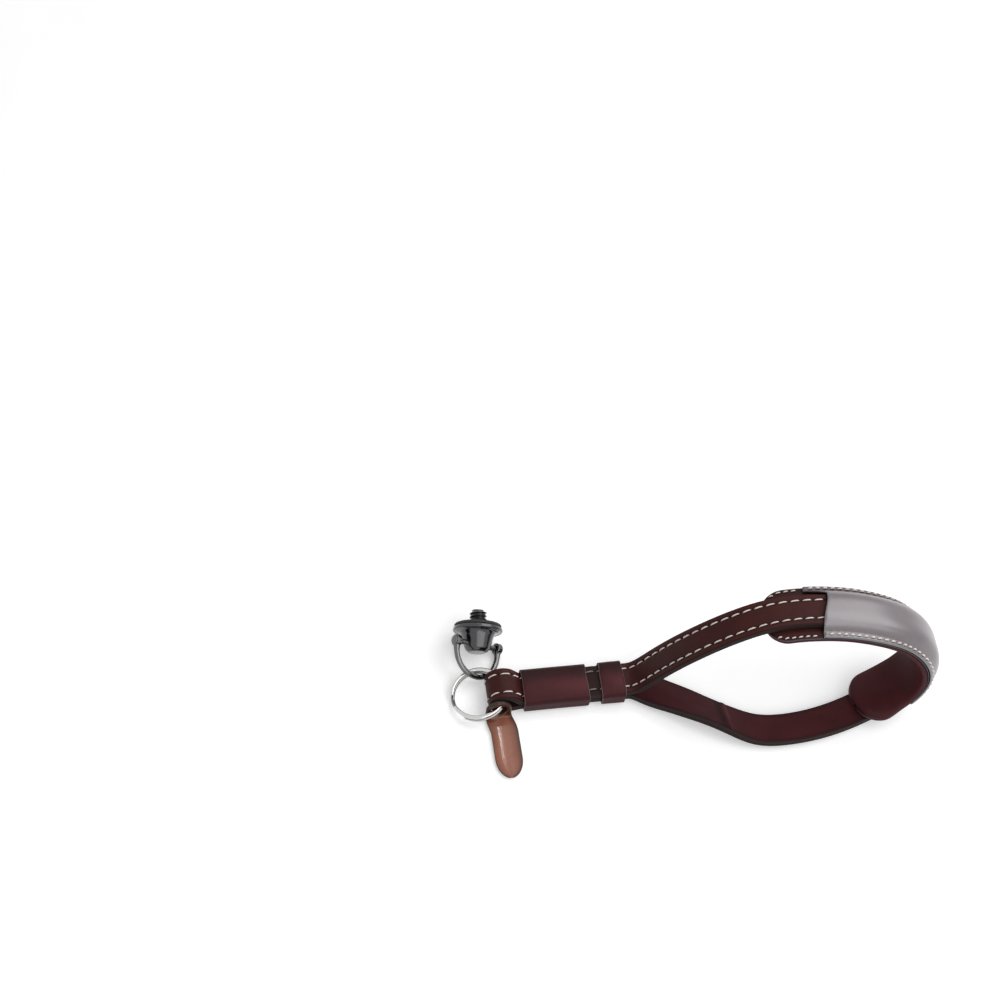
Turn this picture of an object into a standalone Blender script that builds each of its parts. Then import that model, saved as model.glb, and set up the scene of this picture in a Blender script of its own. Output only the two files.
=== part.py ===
"""Leather wrist strap with a padded loop, a split ring and a tripod-socket screw.

The strap lies at rest: the sleeve, the lower leg of the loop, the pad's turn, the ring and
the screw's flange touch the surface below. X runs along the sleeve towards the loop, Z is up,
and the origin is the middle of the sleeve's flat underside. Sizes are in millimetres and the
meshes are made in metres.
"""

import math

import bmesh
import bpy
import numpy as np
from mathutils import Matrix, Vector

MM = 0.001

# Clearances
GAP = 0.3                       # between touching pieces
FLOOR_GAP = 0.12                # under pieces that only just touch the surface
THREAD_GAP = 0.06               # between a stitch and the face that it lies on

# Strap leather
STRAP_WIDTH = 12.0
OUTER_THICK = 1.3
LINING_THICK = 1.0
EDGE_BEVEL = 0.4
STRAP_THICK = OUTER_THICK + GAP + LINING_THICK
STRAP_HALF = STRAP_WIDTH / 2
FACE = STRAP_THICK / 2          # from the strap's middle to its outer or inner face

# Stitching
THREAD_DIAMETER = 0.5
STITCH_PITCH = 3.7
STITCH_INSET = 2.4
GROOVE_WIDTH = 1.1
GROOVE_DEPTH = 0.75
GROOVE_FLOOR = 0.66              # width of a groove's floor

# Sleeve and keeper round the two legs
SLEEVE_LENGTH = 23.6
SLEEVE_WALL = 1.0
SLEEVE_CORNER = 2.4
KEEPER_LENGTH = 8.6
KEEPER_WALL = 1.0
KEEPER_TO_SLEEVE = 4.6
STRAIGHT_PAST_KEEPER = 1.6
SEAM_DEPTH = 0.45
SEAM_WIDTH = 0.9
SEAM_THREAD = 0.5

SLEEVE_END = SLEEVE_LENGTH / 2
KEEPER_START = SLEEVE_END + KEEPER_TO_SLEEVE
KEEPER_END = KEEPER_START + KEEPER_LENGTH
LOOP_START = KEEPER_END + STRAIGHT_PAST_KEEPER
LOWER_LEG = SLEEVE_WALL + GAP + FACE
UPPER_LEG = LOWER_LEG + STRAP_THICK + GAP

# Eye: the fold round the split ring, a round loop beyond the sleeve's left end
EYE_RADIUS = 4.25
EYE_BELOW_CLEAR = 0.4
EYE_NECK = 7.3                  # from the sleeve's end to the eye's middle
NECK_AT = 0.45                  # where, as a share of the neck, the legs are set before the eye
NECK_RISE, NECK_FALL = 1.3, 2.0  # how far each leg has gone to the eye's height there
EYE_X = -SLEEVE_END - EYE_NECK
EYE_Z = EYE_RADIUS + FACE + EYE_BELOW_CLEAR

# Padded loop, from the lower leg at the keeper round the turn to the upper leg at the keeper.
# Each row is a point of the strap's middle and the strap's roll about its run in degrees. The
# first number is the share of LOOP_REACH past the loop's start.
LOOP_REACH = 106.0
LOOP_ROUTE = (
    (0.0725, -3.6, 2.6, 4.0),
    (0.1550, -8.8, 3.2, 14.0),
    (0.2174, -13.0, 4.0, 20.0),
    (0.2771, -16.8, 4.2, 20.0),
    (0.3385, -20.4, 3.6, 14.0),
    (0.4028, -23.3, 2.7, 7.0),
    (0.5083, -24.5, 2.45, 6.0),
    (0.6367, -23.2, 2.95, 5.0),
    (0.7651, -19.4, 3.1, 5.0),
    (0.8752, -15.0, 3.9, 5.0),
    (0.9584, -12.7, 10.0, 3.0),
    (0.9929, -11.3, 20.5, 0.0),
    (0.9710, -9.9, 31.5, 0.0),
    (0.9051, -7.7, 40.0, 0.0),
    (0.8070, -6.0, 45.6, 0.0),
    (0.6969, -4.2, 48.3, 0.0),
    (0.5776, -3.0, 49.2, 0.0),
    (0.4446, -2.3, 47.6, 0.0),
    (0.3121, -2.8, 42.3, 0.0),
    (0.1990, -2.5, 32.4, 0.0),
    (0.1219, -1.2, 21.3, 0.0),
    (0.0579, -0.2, 10.5, 0.0),
)
PAD_END_ROW = 16                # the row of the route just before the pad's upper end
STRAP_END_GAP = 1.0             # the strap's two ends stop this far apart under the cover

# Pad
PAD_LENGTH = 115.0
PAD_HALF = 10.3
PAD_END_RADIUS = 9.0
PAD_START = 42.0                # from the loop's start, along X, to the pad's end on the upper leg
COVER_SETBACK = 21.0            # bare base at each end of the pad
BASE_THICK = 0.9
CORE_THICK = 1.2
LINING_SKIN = 0.7
COVER_THICK = 1.0
COVER_SIDE_CLEAR = 0.4
COVER_CREASE = 0.4              # from the strap's side to the cover's crease, on the underside
COVER_SHOULDER = 1.0            # how far out of the strap's side the cover turns down
COVER_SWEEP = 2.0               # how far out of the strap's side the cover meets its flange
COVER_EASE = 0.7                # depth of the cover's inner corner
PAD_STITCH_INSET = 1.1
PAD_TIP_HALF = 0.15             # least half width of the hollow at the pad's tips
LINING_ROUND = 0.07             # share of the width that the lining's edge is rounded by

# Split ring
RING_WIRE = 1.5
RING_OUTER = 20.5
RING_COIL_GAP = 0.3
RING_CROSS_ANGLE = 22.0         # half of the stretch where the wire steps to its second turn
RING_CROSS_AT = 200.0
RING_END = 1.25                 # where each end of the wire stops, as a share of that half
RING_REST = 0.15                # allowance at the ring's low side

# Bail and its pin
BAIL_WIRE = 2.0
BAIL_HALF = 9.3
BAIL_STRAIGHT = 2.5
BAIL_TILT = 15.5                # slope of the bail towards the ring
BAIL_ROLL = 35.5                # the bail's right side lies low
BAIL_HEADING = 9.0              # the bail's turn away from straight back
BAIL_SLACK = 0.7                # between the arch and the ring's inner side
EAR_RADIUS = 2.15
EAR_THICK = 2.0
PIN_DIAMETER = 2.0
PIN_HEAD_DIAMETER = 3.4
PIN_HEAD_THICK = 0.6
PIN_HEAD_FACE = 0.7             # flat of the head, as a share of its diameter

# Tripod screw and its washer
FLANGE_DIAMETER = 18.0
FLANGE_THICK = 1.6
FLANGE_EDGE = 0.35
FLANGE_TO_PIN = 4.5
BOSS_BASE_DIAMETER = 13.0
BOSS_TIP_DIAMETER = 9.0
BOSS_LENGTH = 7.4
BOSS_EDGE = 1.2
STUD_DIAMETER = 6.35
STUD_LENGTH = 6.6
STUD_EDGE = 0.8
WASHER_DIAMETER = 17.0
WASHER_THICK = 1.2
WASHER_EDGE = 0.2

# Tag
TAG_THICK = 1.6
TAG_HALF = 4.9
TAG_NECK_HALF = 4.6
TAG_HOLE = 6.2
TAG_BEND = 2.4
TAG_REACH = 25.0                # how far the tongue reaches towards the viewer
TAG_SHIFT = 1.4                 # the tongue's middle lies this far right of the hole
TAG_TIP_HALF = 0.9              # half width at the two tips
TAG_EDGE = 0.35
TAG_TONGUE = 1.5                # length of the round tip, as a share of the half width
TAG_SPREAD, TAG_LEAN = 0.45, 0.3  # shares of the reach over which it widens and shifts

LEATHER = (0.045, 0.017, 0.015)
LEATHER_RED = (0.070, 0.020, 0.022)
INNER_LEATHER = (0.060, 0.022, 0.020)
TAN = (0.36, 0.16, 0.09)
CREAM = (0.62, 0.50, 0.38)
FOAM = (0.05, 0.05, 0.055)
STEEL = (0.66, 0.66, 0.65)
DARK_STEEL = (0.20, 0.20, 0.20)
RUBBER = (0.03, 0.03, 0.03)


def clear_scene():
    """Remove every object that the file opened with."""
    for item in list(bpy.data.objects):
        bpy.data.objects.remove(item, do_unlink=True)


def unit(vectors):
    """Vectors scaled to length one along their last axis."""
    return vectors / np.linalg.norm(vectors, axis=-1, keepdims=True)


def run_length(points):
    """Length along a polyline at each of its points."""
    return np.concatenate(([0.0], np.cumsum(np.linalg.norm(np.diff(points, axis=0), axis=1))))


def clamped_spline(points, start_direction, end_direction, step=0.4):
    """Cubic spline through rows of numbers, with set run-in and run-out directions.

    The parameter is the chord length over the first three columns. The function solves for the
    slopes at the points and returns closely spaced rows along the whole curve.
    """
    rows = np.asarray(points, float)
    chord = np.linalg.norm(np.diff(rows[:, :3], axis=0), axis=1)
    count = len(rows)
    system = np.zeros((count, count))
    right_side = np.zeros_like(rows)
    system[0, 0] = system[-1, -1] = 1.0
    right_side[0, :len(start_direction)] = start_direction
    right_side[-1, :len(end_direction)] = end_direction
    for i in range(1, count - 1):
        before, after = chord[i - 1], chord[i]
        system[i, i - 1] = after
        system[i, i] = 2 * (before + after)
        system[i, i + 1] = before
        right_side[i] = 3 * (after * (rows[i] - rows[i - 1]) / before
                             + before * (rows[i + 1] - rows[i]) / after)
    slopes = np.linalg.solve(system, right_side)
    pieces = []
    for i in range(count - 1):
        length = chord[i]
        samples = max(2, int(math.ceil(length / step)))
        t = np.linspace(0.0, 1.0, samples, endpoint=False)[:, None]
        pieces.append((2 * t**3 - 3 * t**2 + 1) * rows[i] + (t**3 - 2 * t**2 + t) * length * slopes[i]
                      + (3 * t**2 - 2 * t**3) * rows[i + 1] + (t**3 - t**2) * length * slopes[i + 1])
    pieces.append(rows[-1:])
    return np.vstack(pieces)


class Track:
    """A run of stations, each with its place, its width direction and its outward direction."""

    def __init__(self, middle, rolls, width_hint, marks=(), turn_step=11.0, twist_step=2.8,
                 longest_step=6.5):
        middle = np.asarray(middle, float)
        length = run_length(middle)
        run = unit(np.gradient(middle, length, axis=0))
        hint = np.asarray(width_hint, float)
        width = unit(hint - (run @ hint)[:, None] * run)
        outward = np.cross(width, run)
        angle = np.radians(rolls)[:, None]
        width, outward = (np.cos(angle) * width + np.sin(angle) * outward,
                          np.cos(angle) * outward - np.sin(angle) * width)
        marked = {int(np.argmin(np.abs(length - mark))) for mark in marks}
        keep = [0]
        for i in range(1, len(middle)):
            turned = math.degrees(math.acos(np.clip(run[i] @ run[keep[-1]], -1, 1)))
            tipped = math.degrees(math.acos(np.clip(width[i] @ width[keep[-1]], -1, 1)))
            far = length[i] - length[keep[-1]] >= longest_step
            if turned >= turn_step or tipped >= twist_step or far or i in marked:
                keep.append(i)
        if keep[-1] != len(middle) - 1:
            keep.append(len(middle) - 1)
        self.at = length[keep]
        self.middle, self.width, self.outward = middle[keep], width[keep], outward[keep]

    def length(self):
        return self.at[-1]

    def stations(self, start, end, extra=(), apart=0.2):
        """The track's own stations between two lengths, with the ends and any extra ones."""
        inner = [s for s in self.at if start + apart < s < end - apart]
        return sorted(set(inner) | {start, end} | {e for e in extra if start < e < end})

    def point(self, at, across, out):
        """The place at a length along the track, across its width and out of its face."""
        i = int(np.clip(np.searchsorted(self.at, at, side="right") - 1, 0, len(self.at) - 2))
        share = (at - self.at[i]) / (self.at[i + 1] - self.at[i])
        ends = [self.middle[j] + across * self.width[j] + out * self.outward[j] for j in (i, i + 1)]
        return (1 - share) * ends[0] + share * ends[1]

    def find(self, axis, value, start, end):
        """The length, between two others, at which the middle reaches a value on one axis."""
        inside = (self.at >= start) & (self.at <= end)
        lengths, values = self.at[inside], self.middle[inside, axis]
        order = np.argsort(values)
        return float(np.interp(value, values[order], lengths[order]))


def material(name, colour, roughness, metallic=0.0):
    """A Principled material with one colour."""
    made = bpy.data.materials.new(name)
    made.use_nodes = True
    shader = made.node_tree.nodes["Principled BSDF"]
    shader.inputs["Base Color"].default_value = (*colour, 1.0)
    shader.inputs["Roughness"].default_value = roughness
    shader.inputs["Metallic"].default_value = metallic
    made.diffuse_color = (*colour, 1.0)
    return made


def add_object(name, vertices, faces, finish, smooth_angle=35.0):
    """A closed mesh in its own object, from vertices in millimetres."""
    mesh = bpy.data.meshes.new(name)
    mesh.from_pydata([Vector(v) * MM for v in vertices], [], faces)
    work = bmesh.new()
    work.from_mesh(mesh)
    bmesh.ops.recalc_face_normals(work, faces=work.faces)
    work.to_mesh(mesh)
    work.free()
    mesh.shade_smooth()
    mesh.set_sharp_from_angle(angle=math.radians(smooth_angle))
    made = bpy.data.objects.new(name, mesh)
    bpy.context.scene.collection.objects.link(made)
    if finish is not None:
        mesh.materials.append(finish)
    return made


def add_loft(name, rings, finish, closed=False, smooth_angle=35.0):
    """A solid skinned over equal rings of points, with a cap at each end unless it closes."""
    size, count = len(rings[0]), len(rings)
    vertices = [tuple(p) for ring in rings for p in ring]
    faces = []
    for i in range(count if closed else count - 1):
        here, there = i * size, ((i + 1) % count) * size
        for j in range(size):
            k = (j + 1) % size
            faces.append((here + j, here + k, there + k, there + j))
    if not closed:
        faces.append(tuple(range(size)))
        faces.append(tuple((count - 1) * size + j for j in range(size)))
    return add_object(name, vertices, faces, finish, smooth_angle)


def add_strip(name, track, stations, profile, finish):
    """A profile of (across, out) pairs carried along a track. It may be a function of length."""
    rings = []
    for at in stations:
        pairs = profile(at) if callable(profile) else profile
        rings.append([track.point(at, across, out) for across, out in pairs])
    return add_loft(name, rings, finish)


def circle(radius, sides, turn=0.0):
    """Corner points of a round section."""
    angles = [2 * math.pi * (i + turn) / sides for i in range(sides)]
    return [(radius * math.cos(a), radius * math.sin(a)) for a in angles]


def add_turned(name, outline, axis, finish, sides=32):
    """A solid of revolution about an axis, from (along, radius) pairs that form a closed loop."""
    along = Vector(axis).normalized()
    first = along.orthogonal().normalized()
    second = along.cross(first)
    rings = []
    for a in (2 * math.pi * i / sides for i in range(sides)):
        out = first * math.cos(a) + second * math.sin(a)
        rings.append([along * x + out * r for x, r in outline])
    return add_loft(name, rings, finish, closed=True)


def add_shaft(name, outline, axis, finish, sides=32):
    """A turned solid without a bore, from (along, radius) pairs from one end to the other."""
    along = Vector(axis).normalized()
    first = along.orthogonal().normalized()
    second = along.cross(first)
    rings = []
    for x, r in outline:
        rings.append([along * x + first * (r * c) + second * (r * s) for c, s in circle(1.0, sides)])
    return add_loft(name, rings, finish)


def cut(target, cutter, operation="DIFFERENCE"):
    """Cut, or join, one object with another through a Boolean modifier."""
    cutter.hide_render = True
    cutter.display_type = "WIRE"
    step = target.modifiers.new(cutter.name, "BOOLEAN")
    step.operation = operation
    step.object = cutter
    step.solver = "EXACT"


def strap_route():
    """Middle line and roll of the whole strap, from its end under the pad's cover and back.

    It runs along the upper leg, round the eye and back along the lower leg. Also returned is
    the length of the run at the end of each stretch.
    """
    start = (LOOP_START, 0.0, LOWER_LEG, 0.0)
    end = (LOOP_START, 0.0, UPPER_LEG, 0.0)
    route = [(LOOP_START + LOOP_REACH * share, *rest) for share, *rest in LOOP_ROUTE]
    loop = clamped_spline((start, *route, end), (1.0, 0.0, 0.0), (-1.0, 0.0, 0.0))
    lengths = run_length(loop[:, :3])
    on_top = (loop[:, 2] > UPPER_LEG + STRAP_THICK) & (loop[:, 0] < route[PAD_END_ROW][0])
    pad_start = np.interp(-LOOP_START - PAD_START, -loop[on_top, 0], lengths[on_top])
    middle = pad_start - PAD_LENGTH / 2
    first = loop[lengths >= middle + STRAP_END_GAP / 2]
    last = loop[lengths <= middle - STRAP_END_GAP / 2]
    top, low = EYE_Z + EYE_RADIUS, EYE_Z - EYE_RADIUS
    throat = EYE_NECK * NECK_AT
    diagonal = EYE_RADIUS * math.sqrt(0.5)
    eye_points = (
        (-SLEEVE_END, 0.0, UPPER_LEG, 0.0),
        (-SLEEVE_END - throat, 0.0, (UPPER_LEG + NECK_RISE * top) / (1 + NECK_RISE), 0.0),
        (EYE_X, 0.0, top, 0.0),
        (EYE_X - diagonal, 0.0, EYE_Z + diagonal, 0.0),
        (EYE_X - EYE_RADIUS, 0.0, EYE_Z, 0.0),
        (EYE_X - diagonal, 0.0, EYE_Z - diagonal, 0.0),
        (EYE_X, 0.0, low, 0.0),
        (-SLEEVE_END - throat, 0.0, (LOWER_LEG + NECK_FALL * low) / (1 + NECK_FALL), 0.0),
        (-SLEEVE_END, 0.0, LOWER_LEG, 0.0),
    )
    eye = clamped_spline(eye_points, (-1.0, 0.0, 0.0), (1.0, 0.0, 0.0), step=0.2)
    upper = np.array([(x, 0.0, UPPER_LEG, 0.0) for x in np.linspace(LOOP_START, -SLEEVE_END, 60)])
    lower = np.array([(x, 0.0, LOWER_LEG, 0.0) for x in np.linspace(-SLEEVE_END, LOOP_START, 60)])
    rows = np.vstack((first, upper[1:], eye[1:], lower[1:], last[1:]))
    marks = np.cumsum([len(first), len(upper) - 1, len(eye) - 1, len(lower) - 1]) - 1
    return rows[:, :3], rows[:, 3], run_length(rows[:, :3])[marks]


def strap_outer_profile():
    """The outer leather's section: bevelled outer corners and a groove for each stitch row."""
    half, top, under = STRAP_HALF, FACE, FACE - OUTER_THICK
    row = half - STITCH_INSET
    floor = top - GROOVE_DEPTH
    side, flat = GROOVE_WIDTH / 2, GROOVE_FLOOR / 2
    groove = [(row + side, top), (row + flat, floor), (row - flat, floor), (row - side, top)]
    right = [(half, under), (half, top - EDGE_BEVEL), (half - EDGE_BEVEL, top), *groove]
    left = [(-across, out) for across, out in reversed(right)]
    return right + left


def lining_profile():
    """The lining's section, with bevelled inner corners."""
    half, top, under = STRAP_HALF, -FACE + LINING_THICK, -FACE
    right = [(half - EDGE_BEVEL, under), (half, under + EDGE_BEVEL), (half, top)]
    return right + [(-across, out) for across, out in reversed(right)]


def add_stitch_row(name, track, across, hidden, finish):
    """One thread in a groove: it rises over each stitch and stays low where a piece covers it."""
    low = FACE - THREAD_DIAMETER / 2 - THREAD_GAP / 2
    high = FACE + THREAD_GAP / 2
    section = circle(THREAD_DIAMETER / 2, 4, turn=0.5)
    start, end = STITCH_PITCH / 2, track.length() - STITCH_PITCH / 2
    steps = int((end - start) / (STITCH_PITCH / 2))
    rings = []
    for i in range(steps + 1):
        at = start + (end - start) * i / steps
        covered = any(a - THREAD_DIAMETER < at < b + THREAD_DIAMETER for a, b in hidden)
        out = low if covered or i % 2 else high
        rings.append([track.point(at, across + a, out + b) for a, b in section])
    return add_loft(name, rings, finish)


def pad_half(at, start, end, half):
    """Half the pad's width at a length: full, but rounded off towards each end."""
    inset = PAD_HALF - half
    radius = PAD_END_RADIUS - inset
    room = min(at - start - inset, end - at - inset)
    if room >= radius:
        return half
    short = radius - max(room, 0.0)
    return half - radius + math.sqrt(max(radius**2 - short**2, 0.0))


def pad_stations(track, start, end, inset=0.0):
    """Stations along the pad, closer together where its ends are round."""
    near = [PAD_END_RADIUS * share for share in (0.04, 0.15, 0.34, 0.62, 1.0)]
    extra = [start + inset + d for d in near] + [end - inset - d for d in near]
    return track.stations(start + inset, end - inset, extra)


def add_pad(track, start, end, finishes):
    """The pad's four layers: base under the strap, foam, lining tray and arched cover."""
    base_top = -FACE - GAP
    base_low = base_top - BASE_THICK
    core_top = base_low - GAP
    core_low = core_top - CORE_THICK
    tray_top = core_low - GAP
    tray_low = tray_top - LINING_SKIN
    cover_start, cover_end = start + COVER_SETBACK, end - COVER_SETBACK

    def base_profile(at):
        half = pad_half(at, start, end, PAD_HALF)
        return [(half, base_low), (half, base_top), (-half, base_top), (-half, base_low)]

    def core_profile(at):
        half = pad_half(at, start, end, PAD_HALF - LINING_SKIN - GAP)
        return [(half, core_low), (half, core_top), (-half, core_top), (-half, core_low)]

    def tray_profile(at):
        half = pad_half(at, start, end, PAD_HALF)
        inner = max(half - LINING_SKIN, PAD_TIP_HALF)
        right = [(half * (1 - LINING_ROUND), tray_low), (half, tray_low + LINING_SKIN), (half, core_top),
                 (inner, core_top), (inner, tray_top)]
        return right + [(-across, out) for across, out in reversed(right)]

    flange = -FACE
    side = STRAP_HALF + COVER_SIDE_CLEAR
    crown = FACE + GAP
    right = [
        (side + COVER_CREASE, flange), (PAD_HALF, flange), (PAD_HALF, flange + COVER_THICK),
        (side + COVER_SWEEP, flange + COVER_THICK), (side + COVER_SHOULDER, crown),
        (side - COVER_CREASE, crown + COVER_THICK), (STRAP_HALF / 2, crown + COVER_THICK),
    ]
    inner = [(STRAP_HALF / 2, crown), (side - COVER_EASE, crown), (side, crown - COVER_EASE)]
    cover_profile = (right + [(-a, o) for a, o in reversed(right)]
                     + [(-a, o) for a, o in reversed(inner)] + inner)

    add_strip("pad_base", track, pad_stations(track, start, end), base_profile, finishes["leather"])
    add_strip("pad_core", track, pad_stations(track, start, end, LINING_SKIN + GAP), core_profile,
              finishes["foam"])
    add_strip("pad_lining", track, pad_stations(track, start, end), tray_profile, finishes["inner"])
    add_strip("pad_cover", track, track.stations(cover_start, cover_end), cover_profile,
              finishes["gloss"])
    for name, hand in (("pad_thread_far", 1), ("pad_thread_near", -1)):
        add_pad_thread(name, track, start, end, hand, base_top, flange + COVER_THICK, finishes["thread"])


def add_pad_thread(name, track, start, end, hand, base_top, flange_top, finish):
    """The stitching along one side of the pad: on the cover's flange and on the bare base."""
    lift = THREAD_DIAMETER / 2 + THREAD_GAP
    section = circle(THREAD_DIAMETER / 2, 4, turn=0.5)
    keep_off = STRAP_HALF + COVER_SIDE_CLEAR + THREAD_DIAMETER / 2
    cover_start, cover_end = start + COVER_SETBACK, end - COVER_SETBACK
    steps = int(PAD_LENGTH / STITCH_PITCH * 2)
    rings = []
    for i in range(steps + 1):
        at = start + (end - start) * i / steps
        across = pad_half(at, start, end, PAD_HALF) - PAD_STITCH_INSET
        if across < keep_off:
            continue
        off_cover = max(cover_start - at, at - cover_end)
        if abs(off_cover) < 2 * THREAD_DIAMETER:
            continue
        seat = base_top if off_cover > 0 else flange_top
        out = seat + lift + (THREAD_GAP * 2 if i % 2 else 0.0)
        rings.append([track.point(at, hand * (across + a), out + b) for a, b in section])
        if i < steps:
            step_at = at + (end - start) / steps
            for edge, low_side in ((cover_start, -1), (cover_end, 1)):
                if at < edge - THREAD_DIAMETER < step_at + THREAD_DIAMETER or at < edge < step_at:
                    foot = edge + low_side * 2 * THREAD_DIAMETER
                    brow = flange_top + lift
                    drop = [(foot, base_top + lift), (foot, brow)]
                    for place, height in drop if low_side < 0 else reversed(drop):
                        rings.append([track.point(place + (low_side * b), hand * (across + a), height)
                                      for a, b in section])
    return add_loft(name, rings, finish)


def band_profile(wall, corner, seam_z):
    """Outer and inner loop of a band round both legs, with a seam groove on its far side."""
    inner_half = STRAP_HALF + GAP
    inner_low = LOWER_LEG - FACE - GAP
    inner_high = UPPER_LEG + FACE + GAP
    half, low, high = inner_half + wall, inner_low - wall, inner_high + wall

    def rounded(width, bottom, top, radius, steps):
        points = []
        for cy, cz, first in ((width - radius, bottom + radius, -90), (width - radius, top - radius, 0),
                              (-width + radius, top - radius, 90), (-width + radius, bottom + radius, 180)):
            for i in range(steps + 1):
                a = math.radians(first + 90 * i / steps)
                points.append((cy + radius * math.cos(a), cz + radius * math.sin(a)))
        return points

    outer = rounded(half, low, high, corner, 4)
    inner = rounded(inner_half, inner_low, inner_high, max(corner - wall - 0.7, 0.3), 2)
    seam = [(half, seam_z - SEAM_WIDTH / 2), (half - SEAM_DEPTH, seam_z - SEAM_WIDTH / 4),
            (half - SEAM_DEPTH, seam_z + SEAM_WIDTH / 4), (half, seam_z + SEAM_WIDTH / 2)]
    return outer[:5] + seam + outer[5:], inner


def add_band(name, start, end, wall, corner, finish):
    """A closed band of leather from one X to another, hollow from end to end."""
    outer, inner = band_profile(wall, corner, (LOWER_LEG + UPPER_LEG) / 2)
    vertices = []
    for x in (start, end):
        vertices += [(x, y, z) for y, z in outer]
    for x in (start, end):
        vertices += [(x, y, z) for y, z in inner]
    faces = []
    many, few = len(outer), len(inner)
    base = 2 * many
    for i in range(many):
        j = (i + 1) % many
        faces.append((i, j, many + j, many + i))
    for i in range(few):
        j = (i + 1) % few
        faces.append((base + i, base + few + i, base + few + j, base + j))
    for side, shift in ((0, 0), (1, 0)):
        faces += ring_cap([v[1:] for v in vertices[side * many:(side + 1) * many]],
                          [v[1:] for v in vertices[base + side * few:base + (side + 1) * few]],
                          side * many, base + side * few, flip=bool(side))
    return add_object(name, vertices, faces, finish)


def ring_cap(outer, inner, outer_first, inner_first, flip):
    """Triangles between two loops round one middle, stepping along whichever is behind."""
    middle = np.mean(np.array(inner), axis=0)

    def angles(loop):
        found = [math.atan2(z - middle[1], y - middle[0]) for y, z in loop]
        return np.unwrap(found)

    a, b = angles(outer), angles(inner)
    turns = round((a[0] - b[0]) / (2 * math.pi))
    b = b + 2 * math.pi * turns
    start = int(np.argmin(np.abs(b - a[0])))
    b = np.concatenate((b[start:], b[:start] + 2 * math.pi))
    order = [(start + i) % len(inner) for i in range(len(inner))]
    faces, i, j = [], 0, 0
    while i < len(outer) or j < len(inner):
        next_a = a[i + 1] if i + 1 < len(outer) else a[0] + 2 * math.pi
        next_b = b[j + 1] if j + 1 < len(inner) else b[0] + 2 * math.pi
        o_here, o_next = outer_first + i % len(outer), outer_first + (i + 1) % len(outer)
        n_here, n_next = inner_first + order[j % len(inner)], inner_first + order[(j + 1) % len(inner)]
        if j >= len(inner) or (i < len(outer) and next_a <= next_b):
            faces.append((o_here, o_next, n_here))
            i += 1
        else:
            faces.append((o_here, n_next, n_here))
            j += 1
    return [tuple(reversed(f)) for f in faces] if flip else faces


def add_seam_thread(name, start, end, wall, finish):
    """The thread that closes a band, lying in the seam groove on the far side."""
    y = STRAP_HALF + GAP + wall - SEAM_DEPTH + SEAM_THREAD / 2 + THREAD_GAP
    z = (LOWER_LEG + UPPER_LEG) / 2
    section = circle(SEAM_THREAD / 2 * 0.9, 4, turn=0.5)
    inset = STITCH_PITCH / 4
    steps = max(2, int((end - start) / STITCH_PITCH * 2))
    rings = []
    for i in range(steps + 1):
        x = start + inset + (end - start - 2 * inset) * i / steps
        rise = THREAD_GAP * 2 if i % 2 else 0.0
        rings.append([(x, y + rise + a, z + b) for a, b in section])
    return add_loft(name, rings, finish)


def ring_frame():
    """Radius of the split ring, half its height and its slope down to the surface."""
    radius = (RING_OUTER - RING_WIRE) / 2
    half_stack = (2 * RING_WIRE + RING_COIL_GAP) / 2
    drop = EYE_Z - half_stack - FLOOR_GAP - RING_REST
    slope = math.asin(drop / (2 * radius))
    return radius, half_stack, slope


def add_split_ring(parent, finish):
    """Two turns of wire that step from one level to the next, hung in the eye."""
    radius, half_stack, slope = ring_frame()
    level = half_stack - RING_WIRE / 2
    cross = math.radians(RING_CROSS_ANGLE)
    at = math.radians(RING_CROSS_AT)
    first, last = cross * RING_END, 4 * math.pi - cross * RING_END
    section = circle(RING_WIRE / 2, 8, turn=0.5)
    sway = (radius - math.sqrt(radius**2 - STRAP_HALF**2)) / 2
    steps = 56
    rings = []
    for i in range(steps + 1):
        a = first + (last - first) * i / steps
        share = min(max((a - 2 * math.pi + cross) / (2 * cross), 0.0), 1.0)
        z = level * (2 * (3 * share**2 - 2 * share**3) - 1)
        heading = at + a
        out = Vector((math.cos(heading), math.sin(heading), 0.0))
        middle = out * radius + Vector((0.0, 0.0, z))
        rings.append([middle + out * p + Vector((0.0, 0.0, q)) for p, q in section])
    place = Matrix.Rotation(-slope, 4, "Y") @ Matrix.Translation((-radius + sway, 0.0, 0.0))
    rings = [[place @ p for p in ring] for ring in rings]
    made = add_loft("split_ring", rings, finish)
    made.parent = parent
    return made


def ring_point(angle):
    """A point of the split ring's middle line, in the strap's frame."""
    radius, _, slope = ring_frame()
    sway = (radius - math.sqrt(radius**2 - STRAP_HALF**2)) / 2
    local = Vector((radius * math.cos(angle) - radius + sway, radius * math.sin(angle), 0.0))
    return Matrix.Rotation(-slope, 4, "Y") @ local + Vector((EYE_X, 0.0, EYE_Z))


def hardware_frame():
    """The pin's middle, the direction to the ring, the pin's own and the bail's outward one."""
    tilt, roll, heading = (math.radians(a) for a in (BAIL_TILT, BAIL_ROLL, BAIL_HEADING))
    ahead = Vector((-math.sin(heading), -math.cos(heading), 0.0))
    reach = ahead * math.cos(tilt) - Vector((0.0, 0.0, math.sin(tilt)))
    level = Vector((0.0, 0.0, 1.0)).cross(ahead).normalized()
    upright = reach.cross(level)
    if upright.z < 0:
        upright.negate()
    pin = level * math.cos(roll) - upright * math.sin(roll)
    normal = reach.cross(pin)
    flange_centre = FLANGE_DIAMETER / 2 * math.cos(tilt) + FLOOR_GAP
    height = flange_centre - FLANGE_TO_PIN * math.sin(tilt)
    length = BAIL_HALF + BAIL_STRAIGHT
    ring_at = ring_point(math.pi / 2)
    tip = Vector((ring_at.x, ring_at.y - RING_WIRE / 2 - BAIL_SLACK - BAIL_WIRE / 2, 0.0))
    spot = tip - reach * length
    spot.z = height
    return spot, reach, pin, normal


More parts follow.
